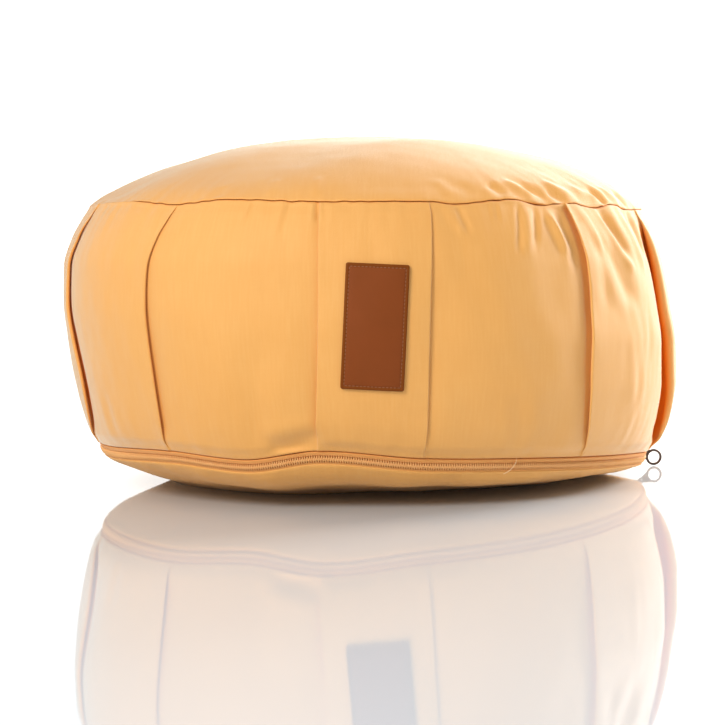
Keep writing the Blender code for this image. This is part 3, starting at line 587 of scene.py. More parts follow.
def makeSideBand():
    shares = bandRows()
    azimuth, out = bandSection(shares)
    # painted shade, deeper where the cloth sinks into a fold
    foldShade = smoothStep((-out - 0.5) / 3.5)
    share = shares.reshape(-1, 1)
    foot, top = zipLineHeight(azimuth) + 0.5, topSeamHeight(azimuth) + seamLineWobble(azimuth)
    height = foot + share * (top - foot)
    out = out + clothUnevenness(azimuth, height, top, foot)
    out = out - turnIn(top - height, roundCurve(seamBite, azimuth))
    out = out - turnIn(height - foot, 1.0)
    radius = sideRadius(azimuth, share) + out
    rings = turned(azimuth, radius, height)
    inside = turned(azimuth[:1], radius[:1] - band["flange"], height[:1])
    above = turned(azimuth[-1:], radius[-1:] - band["flange"], height[-1:])
    rings = np.concatenate((inside, rings, above))
    across = np.hstack((azimuth, azimuth[:, :1] + 360)) * math.radians(1) * band["meanRadius"]
    up = np.hstack((height, height[:, :1]))
    cloth = np.stack((across, up), axis=-1)
    cloth = np.concatenate((cloth[:1], cloth, cloth[-1:]))
    start, end = (0, 0, float(foot.mean())), (0, 0, float(top.mean()))
    piece = ringSkin("sideBand", rings, cloth, start, end, cotton)
    # painted shade along both seams, and full shade on the hidden flanges
    atSeam = 1 - np.minimum(top - height, height - foot) / 0.5
    foldShade = np.maximum(foldShade, atSeam * np.minimum(roundCurve(seamBite, azimuth), 1) * 0.6)
    foldShade = np.concatenate((0 * foldShade[:1] + 1, foldShade, 0 * foldShade[-1:] + 1))
    keepFoldShade(piece, np.append(foldShade.ravel(), (1.0, 1.0)))
    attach(piece, "root")
    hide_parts("side_band")
    print("side band:", len(piece.data.polygons), "faces")


makeSideBand()


# the crowned top panel
topPanel = {
    # azimuth, power of the wide curve, share of the shoulder's tight one
    "crown": ((-90, 2.60, 0.01), (0, 2.6, 0.12), (90, 2.06, 0.21), (180, 2.5, 0.12)),
    "shoulderPower": 18.0,
    "gap": 0.32,
    "seamRadius": 152, "creaseRadius": 150,
    "seamFade": 12.0, "foldFade": 5.0,
    "columns": 720,
    "rings": 84,
    # azimuth and reach (1 at the seam) where a crease starts and ends, depth, half width
    "creases": (
        (24.8, 0.925, 27.4, 0.990, 1.3, 3.0), (28.6, 0.905, 34.6, 1.000, -1.3, 3.2),
        (32.6, 0.930, 37.4, 0.980, 1.3, 3.0), (39.6, 0.905, 44.0, 0.992, -1.0, 3.4),
        (37.8, 0.955, 42.2, 1.000, 1.4, 2.6), (47.0, 0.925, 52.0, 0.995, -0.9, 3.6),
        (52.6, 0.940, 55.0, 1.000, 1.9, 2.8), (58.0, 0.930, 60.5, 1.000, -0.9, 3.2),
        (64.0, 0.940, 65.0, 1.000, 1.2, 3.0), (14.0, 0.890, 16.6, 0.990, -0.6, 3.4),
        (19.0, 0.915, 20.5, 0.990, 0.5, 3.6), (-19.3, 0.880, -18.2, 0.985, -0.4, 3.4),
        (-10.2, 0.875, -9.6, 0.990, -0.5, 2.6), (-30.0, 0.930, -29.0, 0.995, 0.4, 3.0),
        (82.0, 0.920, 84.0, 0.995, 0.9, 4.0), (103.0, 0.930, 105.0, 0.995, 1.0, 3.4),
        (-98.0, 0.930, -101.0, 0.995, 0.8, 3.6), (-124.0, 0.925, -122.0, 0.995, 0.8, 3.6),
        (136.0, 0.930, 138.0, 0.995, 0.9, 3.4), (164.0, 0.925, 166.0, 0.995, 0.7, 3.4),
        (-160.0, 0.930, -163.0, 0.995, 0.8, 3.4),
    ),
}


def crownHeight(azimuth, reach, low):
    power = roundCurve(topPanel["crown"], azimuth)
    shoulder = roundCurve(topPanel["crown"], azimuth, 2)
    fall = (1 - shoulder) * reach**power + shoulder * reach ** topPanel["shoulderPower"]
    return low + (body["height"] - low) * (1 - fall)


def makeTopPanel():
    azimuth = np.linspace(-180, 180, topPanel["columns"], endpoint=False).reshape(1, -1)
    sewnAzimuth, sewnOut = bandSection((1.0,))
    turns = np.concatenate([sewnAzimuth[0] + turn for turn in (-360, 0, 360)])
    rim = sideRadius(azimuth, 1.0)
    atFolds = np.interp(azimuth, turns, np.tile(sewnOut[0], 3))
    opened = np.clip(roundCurve(seamBite, azimuth) * 1.4, 0.08, 1.0)
    low = topSeamHeight(azimuth) + seamLineWobble(azimuth) + topPanel["gap"] * opened
    calmLow = sum(topSeamHeight(azimuth + turn) for turn in range(-40, 41, 10)) / 9
    near = np.array((0.0, 0.15, 0.4, 0.7, 1.1, 1.6, 2.2, 3.0, 4.0)) / topPanel["seamRadius"]
    inward = np.linspace(0, 1, topPanel["rings"])[1:]
    reach = np.concatenate((1 - near, 1 - near[-1] - (0.985 - near[-1]) * inward**1.15)).reshape(-1, 1)
    fromSeam = (1 - reach) * topPanel["seamRadius"]
    height = crownHeight(azimuth, reach, calmLow)
    height = height + (low - calmLow) * np.exp(-fromSeam / topPanel["seamFade"])
    perDegree = math.radians(1) * topPanel["creaseRadius"]
    lift = creaseOut(topPanel["creases"], halfTurn(azimuth), reach, perDegree, topPanel["seamRadius"])
    uneven = 0.05 + 0.10 * smoothStep((np.abs(halfTurn(azimuth) + 20) - 35) / 20)
    lift = lift + uneven * gathers(31, azimuth, 38, 110) * np.exp(-fromSeam / 8) * smoothStep(fromSeam / 3)
    points = turned(azimuth, rim * reach, 0.0)
    calm = smoothStep(fromSeam / 10)
    lift = lift + 0.45 * softWaves(41, points, 62, 400) * calm
    lift = lift + 0.06 * softWaves(42, points, 24, 400) * calm
    # near the seam the cloth faces half outwards
    slant = 0.66 * reach**8
    sewnIn = turnIn(fromSeam * 1.2, roundCurve(seamBite, azimuth))
    radius = rim * reach + atFolds * np.exp(-fromSeam / topPanel["foldFade"]) + lift * slant - sewnIn
    rings = turned(azimuth, radius, height + lift * np.sqrt(1 - slant**2))
    under = turned(azimuth, rim + atFolds - band["flange"], low)
    rings = np.concatenate((under, rings))
    flat = np.concatenate((rings, rings[:, :1]), axis=1)[..., :2]
    middle = (0, 0, float(rings[-1, :, 2].mean()))
    piece = ringSkin("topPanel", rings, flat, (0, 0, float(low.mean())), middle, cotton)
    # painted shade along the top seam, and full shade on the hidden flange
    foldShade = np.maximum(1 - fromSeam / 0.5, 0) * np.minimum(roundCurve(seamBite, azimuth), 1) * 0.6
    foldShade = np.concatenate((0 * foldShade[:1] + 1, foldShade))
    keepFoldShade(piece, np.append(foldShade.ravel(), (1.0, 0.0)))
    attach(piece, "root")
    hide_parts("top_panel")
    print("top panel:", len(piece.data.polygons), "faces")


makeTopPanel()


# the bottom panel, flat where it stands and raised to its seam
bottomPanel = {
    # azimuth, reach of the flat foot, how straight the cloth climbs from it
    "foot": (
        (-135, 118, 0.90), (-90, 109, 0.92), (-60, 92, 0.80), (-30, 82, 0.68), (0, 67, 0.64),
        (30, 76, 0.64), (60, 98, 0.78), (90, 116, 0.96), (135, 120, 0.90), (180, 118, 0.90),
    ),
    "rollPower": 10.0,
    "rimDrop": 0.6,
    "columns": 600,
    "rings": 56,
}

# the zip and its channel; beyond the zip's ends the channel narrows to a plain seam
zipper = {
    "width": 6.2, "lean": 3.0, "channel": 2.4, "plainWidth": 1.2, "plainChannel": 0.9,
    "start": -106.0, "end": 106.0, "endRoom": 1.0, "fade": 1.0, "gap": 0.3,
    "tapeFront": 1.3, "coilFront": 2.1, "coilWidth": 3.2, "tuckedUnder": 0.7, "overhang": 0.9,
    "toothPitch": 1.2, "toothWire": 0.34, "stitchPitch": 1.2, "mapRadius": 148,
    "tapeColour": (0.88, 0.41, 0.115), "tapeShade": (0.77, 0.33, 0.08),
    "coilColour": (0.93, 0.50, 0.19), "coilShade": (0.84, 0.41, 0.13),
    "looseEndColour": (0.95, 0.66, 0.36, 1),
    # azimuth of the loose thread end and its way: along the zip, up it and out of it
    "looseEndAt": 27.0,
    "looseEnd": (
        (2.8, 4.4, 1.2), (2.4, 2.6, 2.2), (1.2, 0.6, 2.7), (-0.4, -1.6, 2.7), (-2.2, -3.2, 2.2),
        (-3.4, -3.9, 1.9),
    ),
}


def zipShare(azimuth):
    turn = halfTurn(azimuth)
    inside = np.minimum(turn - zipper["start"], zipper["end"] - turn)
    return smoothStep((inside + zipper["endRoom"]) / zipper["fade"] + 1)


def seamWidth(azimuth):
    return zipper["plainWidth"] + zipShare(azimuth) * (zipper["width"] - zipper["plainWidth"])


def channelDepth(azimuth):
    return zipper["plainChannel"] + zipShare(azimuth) * (zipper["channel"] - zipper["plainChannel"])


def makeBottomPanel():
    azimuth = np.linspace(-180, 180, bottomPanel["columns"], endpoint=False).reshape(1, -1)
    share = np.linspace(0, 1, bottomPanel["rings"]).reshape(-1, 1)
    rim = sideRadius(azimuth, 0.0) - zipper["lean"] - zipper["overhang"] * zipShare(azimuth)
    seam = zipLineHeight(azimuth) - seamWidth(azimuth)
    reach = roundCurve(bottomPanel["foot"], azimuth)
    straight = roundCurve(bottomPanel["foot"], azimuth, 2)
    climb = straight * share + (1 - straight) * share ** bottomPanel["rollPower"]
    radius = reach + share * (rim - reach)
    height = climb * (seam - bottomPanel["rimDrop"])
    fromSeam = (1 - share) * (rim - reach)
    loose = smoothStep(fromSeam / 4) * smoothStep(share / 0.25)
    ripples = 0.25 * gathers(51, azimuth, 30, 90) * np.exp(-fromSeam / 9)
    ripples = ripples + 0.35 * softWaves(52, turned(azimuth, radius, 0.0), 50, 400)
    height = np.maximum(height - ripples * loose, 0)
    rings = turned(azimuth, radius, height)
    lip = turned(azimuth, rim, seam - 0.15)
    inside = turned(azimuth, rim - channelDepth(azimuth), seam)
    inner = rim + zipper["lean"] / 2 - channelDepth(azimuth) - 0.4
    above = turned(azimuth, inner, seam + seamWidth(azimuth) / 2 - 0.2)
    rings = np.concatenate((rings, lip, inside, above))
    flat = np.concatenate((rings, rings[:, :1]), axis=1)[..., :2]
    # a shaded copy of the cotton, with little sheen: painted shade on the underside
    shadedUnderneath = cottonMaterial("apricotCottonShadedUnderneath", clothFinish["underneathShadeSheen"])
    end = (0, 0, float(zipLineHeight(0)) - 3.4)
    piece = ringSkin("bottomPanel", rings, flat, (0, 0, 0), end, shadedUnderneath)
    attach(piece, "root")
    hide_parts("bottom_panel")
    print("bottom panel:", len(piece.data.polygons), "faces")


makeBottomPanel()


# the middle of the zip's channel and the ways out of it, up it and along it
def zipFrame(azimuth):
    radius = sideRadius(azimuth, 0.0) - channelDepth(azimuth) - zipper["lean"] / 2
    middle = turned(azimuth, radius, zipLineHeight(azimuth) - seamWidth(azimuth) / 2)
    up = turned(azimuth, zipper["lean"], zipper["width"])
    up /= np.linalg.norm(up, axis=-1, keepdims=True)
    along = turned(azimuth + 90, 1.0, 0.0)
    out = np.cross(along, up)
    return middle, out / np.linalg.norm(out, axis=-1, keepdims=True), up, along


# azimuths set this many millimetres apart along the zip
def zipPlaces(pitch):
    fine = np.linspace(zipper["start"], zipper["end"], 2000)
    middle = zipFrame(fine)[0]
    length = np.concatenate(([0], np.cumsum(np.linalg.norm(np.diff(middle, axis=0), axis=1))))
    count = int(length[-1] / pitch)
    return np.interp((np.arange(count) + 0.5) * length[-1] / count, length, fine)


def tapeMaterial():
    made, nodes, links, shader = newMaterial("zipTape")
    place = clothMap(nodes)
    split = nodes.new("ShaderNodeSeparateXYZ")
    links.new(place, split.inputs[0])
    waves = []
    for axis, pitch in ((0, 0.5), (1, 0.4)):
        turns = mathNode(nodes, links, "MULTIPLY", split.outputs[axis], math.pi / pitch)
        waves.append(mathNode(nodes, links, "SINE", turns))
    ribs, rows = waves
    knit = mathNode(nodes, links, "ADD", mathNode(nodes, links, "ABSOLUTE", ribs),
                    mathNode(nodes, links, "MULTIPLY", rows, 0.5))
    mottle = noiseNode(nodes, links, stretched(nodes, links, place, (0.25, 0.8, 1)), 1.0, 3)
    links.new(mixColour(nodes, links, mottle, zipper["tapeColour"], zipper["tapeShade"]),
              shader.inputs["Base Color"])
    shader.inputs["Roughness"].default_value = 0.75
    shader.inputs["Specular IOR Level"].default_value = 0.3
    shader.inputs["Sheen Weight"].default_value = 0.15
    links.new(bumpNode(nodes, links, knit, 0.12, 0.6), shader.inputs["Normal"])
    return made


def coilMaterial():
    made, nodes, links, shader = newMaterial("zipCoil")
    place = nodes.new("ShaderNodeTexCoord").outputs["Object"]
    mottle = noiseNode(nodes, links, place, 220.0, 2)
    links.new(mixColour(nodes, links, mottle, zipper["coilColour"], zipper["coilShade"]),
              shader.inputs["Base Color"])
    shader.inputs["Roughness"].default_value = 0.42
    shader.inputs["Specular IOR Level"].default_value = 0.4
    links.new(bumpNode(nodes, links, mottle, 0.05, 0.4), shader.inputs["Normal"])
    return made


# many copies of one small tube along the zip; its path is (along, up, out) for each point
def tubesAlongZip(name, azimuths, paths, wire, sides, material):
    middle, out, up, along = zipFrame(azimuths)
    axes = np.stack((along, up, out), axis=1)
    faces, points = [], []
    for path in paths:
        path = np.array(path, float)
        ahead = np.gradient(path, axis=0)
        ahead /= np.linalg.norm(ahead, axis=1, keepdims=True)
        beside = np.cross(ahead, (1.0, 0.0, 0.0) if abs(ahead[0, 0]) < 0.7 else (0.0, 1.0, 0.0))
        beside /= np.linalg.norm(beside, axis=1, keepdims=True)
        above = np.cross(beside, ahead)
        slants = np.arange(sides) * 2 * math.pi / sides
        thin = np.ones(len(path))
        thin[[0, -1]] = 0.55
        ring = path[:, None] + wire * thin[:, None, None] * (
            beside[:, None] * np.cos(slants)[None, :, None] + above[:, None] * np.sin(slants)[None, :, None]
        )
        tube = ring.reshape(-1, 3)
        for place, turn in zip(middle, axes):
            base = len(points)
            points.extend((tube @ turn + place) * mm)
            for row in range(len(path) - 1):
                for side in range(sides):
                    beyond = (side + 1) % sides
                    faces.append((base + row * sides + side, base + row * sides + beyond,
                                  base + (row + 1) * sides + beyond, base + (row + 1) * sides + side))
            faces.append(tuple(base + side for side in range(sides))[::-1])
            faces.append(tuple(base + (len(path) - 1) * sides + side for side in range(sides)))
    mesh = bpy.data.meshes.new(name)
    mesh.from_pydata(np.array(points).tolist(), [], faces)
    turnOutwards(mesh)
    return newObject(name, mesh, material)


def turnOutwards(mesh):
    shape = bmesh.new()
    shape.from_mesh(mesh)
    bmesh.ops.recalc_face_normals(shape, faces=shape.faces)
    shape.to_mesh(mesh)
    shape.free()


def makeZip():
    half = math.hypot(zipper["width"], zipper["lean"]) / 2 - zipper["gap"]
    bed = zipper["coilWidth"] / 2 + 0.15
    front, back = zipper["tapeFront"], zipper["gap"]
    under = half + zipper["tuckedUnder"]
    section = (
        (-half, back), (under, back), (under, front - 0.25), (under - 0.2, front), (bed + 0.45, front),
        (bed + 0.1, front - 0.15), (bed, front - 0.55), (-bed, front - 0.55),
        (-bed - 0.1, front - 0.15), (-bed - 0.45, front), (0.2 - half, front), (-half, front - 0.25),
    )
    azimuth = np.linspace(zipper["start"], zipper["end"], 420)
    middle, out, up, _ = zipFrame(azimuth)
    rows = np.stack([middle + up * rise + out * away for rise, away in section], axis=1)
    count = len(section)
    points = (rows.reshape(-1, 3) * mm).tolist()
    faces = []
    for i in range(len(azimuth) - 1):
        for j in range(count):
            k = (j + 1) % count
            faces.append((i * count + j, i * count + k, (i + 1) * count + k, (i + 1) * count + j))
    faces += [tuple(range(count))[::-1], tuple(range(len(points) - count, len(points)))]
    mesh = bpy.data.meshes.new("zipTape")
    mesh.from_pydata(points, [], faces)
    layer = mesh.uv_layers.new(name="cloth")
    lengths = np.radians(azimuth) * zipper["mapRadius"]
    for loop in mesh.loops:
        station, place = divmod(loop.vertex_index, count)
        layer.data[loop.index].uv = (lengths[station], section[place][0])
    turnOutwards(mesh)
    tape = newObject("zipTape", mesh, tapeMaterial())
    mesh.set_sharp_from_angle(angle=math.radians(50))
    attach(tape, "root")
    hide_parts("zip")
    # the interlocked coil: each tooth comes over from its own side and ends past the middle
    places = zipPlaces(zipper["toothPitch"])
    step = zipper["toothPitch"] / 2
    edge, top, foot = zipper["coilWidth"] / 2, zipper["coilFront"], zipper["tapeFront"] - 0.35
    upper = (
        (0, edge, foot), (0, edge - 0.12, top - 0.45), (0, edge - 0.5, top - 0.32),
        (0, 0.3, top - 0.28), (0, -0.45, top - 0.36), (0, -0.8, top - 0.75),
    )
    lower = tuple((step, -rise, away) for _, rise, away in upper)
    coil = tubesAlongZip("zipCoil", places, (upper, lower), zipper["toothWire"], 6, coilMaterial())
    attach(coil, "root")
    # the rows of stitches that hold the coil on its tape
    places = zipPlaces(zipper["stitchPitch"])
    stitches = []
    for side in (-1, 1):
        rise = side * (bed + 0.42)
        stitches.append([(t * 0.42, rise, front + 0.02 + 0.1 * (1 - t * t)) for t in (-1, -0.4, 0.4, 1)])
    thread = tubesAlongZip("zipThread", places, stitches, 0.15, 5, coil.data.materials[0])
    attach(thread, "root")
    print("zip:", len(places), "stitches to a row")
    # the end of the sewing thread lies loose across the zip
    pale, _, _, shader = newMaterial("sewingThread")
    shader.inputs["Base Color"].default_value = zipper["looseEndColour"]
    shader.inputs["Roughness"].default_value = 0.6
    places = np.array((zipper["looseEndAt"],))
    looseEnd = tubesAlongZip("zipThreadEnd", places, (zipper["looseEnd"],), 0.2, 6, pale)
    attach(looseEnd, "root")


makeZip()


# the slider and its pull, cast and lacquered
slider = {
    "azimuth": 99.0, "length": 8.0, "width": 5.4, "plate": 1.3, "nose": 0.66,
    "bridgeSpan": 4.6, "bridgeHeight": 2.7, "bridgeWire": 0.55, "wing": 0.55,
    "colour": (0.085, 0.06, 0.05), "wornColour": (0.16, 0.115, 0.09),
}
pull = {
    "ringRadius": 3.95, "ringWire": 0.7, "length": 8.4, "droop": 23.0, "eyeRadius": 1.35, "eyeWire": 0.45,
    "tabThickness": 1.1, "tabWide": 6.4, "tabNarrow": 3.6, "grain": 0.13,
}


def metalMaterial():
    made, nodes, links, shader = newMaterial("darkBronze")
    place = nodes.new("ShaderNodeTexCoord").outputs["Object"]
    worn = noiseNode(nodes, links, place, 420.0, 4)
    colour = mixColour(nodes, links, worn, slider["colour"], slider["wornColour"])
    links.new(colour, shader.inputs["Base Color"])
    shader.inputs["Metallic"].default_value = 1.0
    links.new(rangeNode(nodes, links, worn, 0.0, 1.0, 0.26, 0.46), shader.inputs["Roughness"])
    links.new(bumpNode(nodes, links, worn, 0.03, 0.5), shader.inputs["Normal"])
    return made


darkMetal = metalMaterial()


def addRing(shape, radius, wire, around, across, move=(0, 0, 0)):
    rows = []
    for i in range(around):
        turn = 2 * math.pi * i / around
        row = []
        for j in range(across):
            slant = 2 * math.pi * j / across
            far = radius + wire * math.cos(slant)
            row.append(shape.verts.new(Vector((far * math.cos(turn), far * math.sin(turn),
                                               wire * math.sin(slant))) + Vector(move)))
        rows.append(row)
    for i in range(around):
        for j in range(across):
            beyond, beside = (i + 1) % around, (j + 1) % across
            shape.faces.new((rows[i][j], rows[beyond][j], rows[beyond][beside], rows[i][beside]))


# closes the skin between rings of points, each with as many points as the next
def joinRings(shape, rings):
    for first, second in zip(rings, rings[1:]):
        for j in range(len(first)):
            k = (j + 1) % len(first)
            shape.faces.new((first[j], first[k], second[k], second[j]))


# a block with rounded edges, narrower at its far end along X
def addBlock(shape, size, place, bevel, farShare=1.0, nearShare=1.0):
    made = bmesh.ops.create_cube(shape, size=1.0)["verts"]
    for corner in made:
        share = farShare if corner.co.x > 0 else nearShare
        corner.co = Vector((corner.co.x * size[0], corner.co.y * size[1] * share, corner.co.z * size[2]))
        corner.co += Vector(place)
    edges = list({edge for corner in made for edge in corner.link_edges})
    bmesh.ops.bevel(shape, geom=edges, offset=bevel, segments=3, profile=0.5, affect="EDGES")


# fuses overlapping shapes, given in millimetres, into one cast piece with soft inner corners
def castPiece(name, shape, grain, matrix):
    mesh = bpy.data.meshes.new(name + "Shape")
    bmesh.ops.recalc_face_normals(shape, faces=shape.faces)
    shape.to_mesh(mesh)
    shape.free()
    helper = bpy.data.objects.new(name + "Shape", mesh)
    bpy.context.scene.collection.objects.link(helper)
    remesh = helper.modifiers.new("fuse", "REMESH")
    remesh.mode = "VOXEL"
    remesh.voxel_size = grain
    soften = helper.modifiers.new("soften", "SMOOTH")
    soften.factor, soften.iterations = 0.5, 4
    bpy.context.view_layer.update()
    graph = bpy.context.evaluated_depsgraph_get()
    cast = bpy.data.meshes.new_from_object(helper.evaluated_get(graph))
    bpy.data.objects.remove(helper)
    cast.transform(matrix)
    cast.transform(Matrix.Scale(mm, 4))
    piece = newObject(name, cast, darkMetal)
    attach(piece, "root")
    return piece


def sliderMatrix():
    middle, out, up, along = (Vector(part) for part in zipFrame(np.float64(slider["azimuth"])))
    turn = Matrix((along, up, out)).transposed().to_4x4()
    return Matrix.Translation(middle + out * (zipper["coilFront"] + zipper["gap"])) @ turn


def pullMatrix():
    eye = Vector((0, 0, slider["plate"] + slider["bridgeHeight"] - 0.3))
    droop = math.radians(pull["droop"])
    flat = Vector(turned(slider["azimuth"], 1.0, 0.0))
    length = (flat * math.cos(droop) - Vector((0, 0, math.sin(droop)))).normalized()
    side = Vector(turned(slider["azimuth"] + 90, 1.0, 0.0))
    turn = Matrix((length, side.cross(length).normalized(), side)).transposed().to_4x4()
    return Matrix.Translation(sliderMatrix() @ eye) @ turn


def makeSlider():
    shape = bmesh.new()
    size = (slider["length"], slider["width"], slider["plate"])
    addBlock(shape, size, (0, 0, slider["plate"] / 2), 0.4, slider["nose"], 0.94)
    for side in (-1, 1):
        wing = (slider["length"] * 0.62, slider["wing"], 1.5)
        place = (-slider["length"] * 0.16, side * (slider["width"] * 0.47 - slider["wing"] / 2), -0.25)
        addBlock(shape, wing, place, 0.15)
    # the arched strap that holds the pull
    steps, sides = 20, 10
    rows = []
    for i in range(steps + 1):
        turn = math.pi * i / steps
        middle = Vector((-math.cos(turn) * slider["bridgeSpan"] / 2, 0,
                         slider["plate"] - 0.3 + math.sin(turn) * slider["bridgeHeight"]))
        ahead = Vector((math.sin(turn), 0, math.cos(turn)))
        row = []
        for j in range(sides):
            slant = 2 * math.pi * j / sides
            away = Vector((-ahead.z, 0, ahead.x)) * math.cos(slant) * slider["bridgeWire"]
            aside = Vector((0, math.sin(slant) * slider["bridgeWire"] * 1.5, 0))
            row.append(shape.verts.new(middle + away + aside))
        rows.append(row)
    joinRings(shape, rows)
    shape.faces.new(rows[0])
    shape.faces.new(rows[-1][::-1])
    piece = castPiece("zipSlider", shape, pull["grain"], sliderMatrix())
    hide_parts("zip_slider")
    print("slider:", len(piece.data.polygons), "faces")


def makePull():
    shape = bmesh.new()
    addRing(shape, pull["ringRadius"], pull["ringWire"], 72, 16, (pull["length"], 0, 0))
    addRing(shape, pull["eyeRadius"], pull["eyeWire"], 36, 12)
    length = pull["length"] - pull["ringRadius"] - pull["eyeRadius"] + 0.7
    size = (length, pull["tabWide"], pull["tabThickness"])
    addBlock(shape, size, (pull["eyeRadius"] + length / 2 - 0.15, 0, 0), 0.35, 1.0,
             pull["tabNarrow"] / pull["tabWide"])
    piece = castPiece("zipPull", shape, pull["grain"], pullMatrix())
    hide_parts("zip_pull")
    print("pull:", len(piece.data.polygons), "faces")


makeSlider()
makePull()


# the leather patch, bent to the front panel and sewn round its border
patch = {
    "width": 30.3, "height": 60.3, "thickness": 1.6, "across": 2.2, "middleHeight": 91.4, "tilt": -3.8,
    "edgeRound": 0.7, "cornerRound": 1.0, "grooveFromEdge": 1.75, "grooveHalf": 0.38, "groove": 0.3,
    "pillow": 0.18, "seat": 0.15, "stitchPitch": 1.75, "stitchLength": 1.2, "stitchWire": 0.17,
    "colour": (0.215, 0.050, 0.0075), "edgeColour": (0.20, 0.046, 0.0016),
    "warmColour": (0.25, 0.055, 0.009),
    "thread": (0.36, 0.12, 0.035), "threadShade": (0.30, 0.11, 0.045),
}


# points of the front panel at a distance across and a height
def frontPoint(across, height):
    left, right = band["folds"][5], band["folds"][6]
    azimuth = np.zeros(np.shape(across))
    for _ in range(7):
        low, high = zipLineHeight(azimuth) + 0.5, topSeamHeight(azimuth)
        share = (height - low) / (high - low)
        first, last = edgeAzimuth(left, share), edgeAzimuth(right, share)
        radius = sideRadius(azimuth, share) + panelPuff(azimuth, share, first, last)
        degree = np.degrees(1 / radius)
        radius = radius + settle(left, azimuth - first, share, degree)
        radius = radius + settle(right, azimuth - last, share, degree)
        radius = radius + clothUnevenness(azimuth, height, high, low)
        azimuth = np.degrees(np.arcsin(across / radius))
    return turned(azimuth, radius, height)


def frontSurface(x, y):
    tilt = math.radians(patch["tilt"])
    across = patch["across"] + x * math.cos(tilt) - y * math.sin(tilt)
    height = patch["middleHeight"] + x * math.sin(tilt) + y * math.cos(tilt)
    sideways = frontPoint(across + 2, height) - frontPoint(across - 2, height)
    upward = frontPoint(across, height + 2) - frontPoint(across, height - 2)
    out = np.cross(sideways, upward)
    return frontPoint(across, height), out / np.linalg.norm(out, axis=-1, keepdims=True)


# height of the leather's face by distance from its cut edge
def leatherFace(fromEdge):
    rounding = patch["edgeRound"]
    inside = np.clip(rounding - fromEdge, 0, rounding)
    face = patch["thickness"] - rounding + np.sqrt(np.maximum(rounding**2 - inside**2, 0))
    groove = np.exp(-(((fromEdge - patch["grooveFromEdge"]) / patch["grooveHalf"]) ** 2))
    pillow = smoothStep((fromEdge - 1.8) / 3.5)
    return face - patch["groove"] * groove + patch["pillow"] * pillow


def leatherMaterial():
    made, nodes, links, shader = newMaterial("brownLeather")
    place = clothMap(nodes)
    split = nodes.new("ShaderNodeSeparateXYZ")
    links.new(place, split.inputs[0])
    edges = []
    for axis, size in ((0, patch["width"]), (1, patch["height"])):
        away = mathNode(nodes, links, "ABSOLUTE", split.outputs[axis])
        edges.append(mathNode(nodes, links, "SUBTRACT", size / 2, away))
    fromEdge = mathNode(nodes, links, "MINIMUM", *edges)
    stain = noiseNode(nodes, links, stretched(nodes, links, place, (0.5, 0.5, 1)), 1.0, 4)
    uneven = mathNode(nodes, links, "ADD", fromEdge, mathNode(nodes, links, "MULTIPLY", stain, 0.9))
    border = rangeNode(nodes, links, uneven, 1.7, 2.7, 0.0, 1.0, "SMOOTHSTEP")
    broad = noiseNode(nodes, links, stretched(nodes, links, place, (0.07, 0.07, 1)), 1.0, 3)
    middle = mixColour(nodes, links, broad, patch["colour"], patch["warmColour"])
    colour = mixColour(nodes, links, border, patch["edgeColour"], middle)
    links.new(colour, shader.inputs["Base Color"])
    pores = nodes.new("ShaderNodeTexVoronoi")
    pores.feature = "DISTANCE_TO_EDGE"
    pores.inputs["Scale"].default_value = 1.5
    links.new(place, pores.inputs["Vector"])
    fine = noiseNode(nodes, links, place, 2.2, 5, 0.6)
    grain = mathNode(nodes, links, "ADD", mathNode(nodes, links, "MINIMUM", pores.outputs[0], 0.12),
                     mathNode(nodes, links, "MULTIPLY", fine, 0.25))
    shader.inputs["Roughness"].default_value = 0.6
    shader.inputs["Specular IOR Level"].default_value = 0.15
    links.new(bumpNode(nodes, links, grain, 0.22, 0.55), shader.inputs["Normal"])
    return made


def threadMaterial():
    made, nodes, links, shader = newMaterial("patchThread")
    place = nodes.new("ShaderNodeTexCoord").outputs["Object"]
    twist = noiseNode(nodes, links, place, 2600.0, 2)
    colour = mixColour(nodes, links, twist, patch["thread"], patch["threadShade"])
    links.new(colour, shader.inputs["Base Color"])
    shader.inputs["Roughness"].default_value = 0.7
    shader.inputs["Sheen Weight"].default_value = 0.2
    links.new(bumpNode(nodes, links, twist, 0.08, 0.6), shader.inputs["Normal"])
    return made


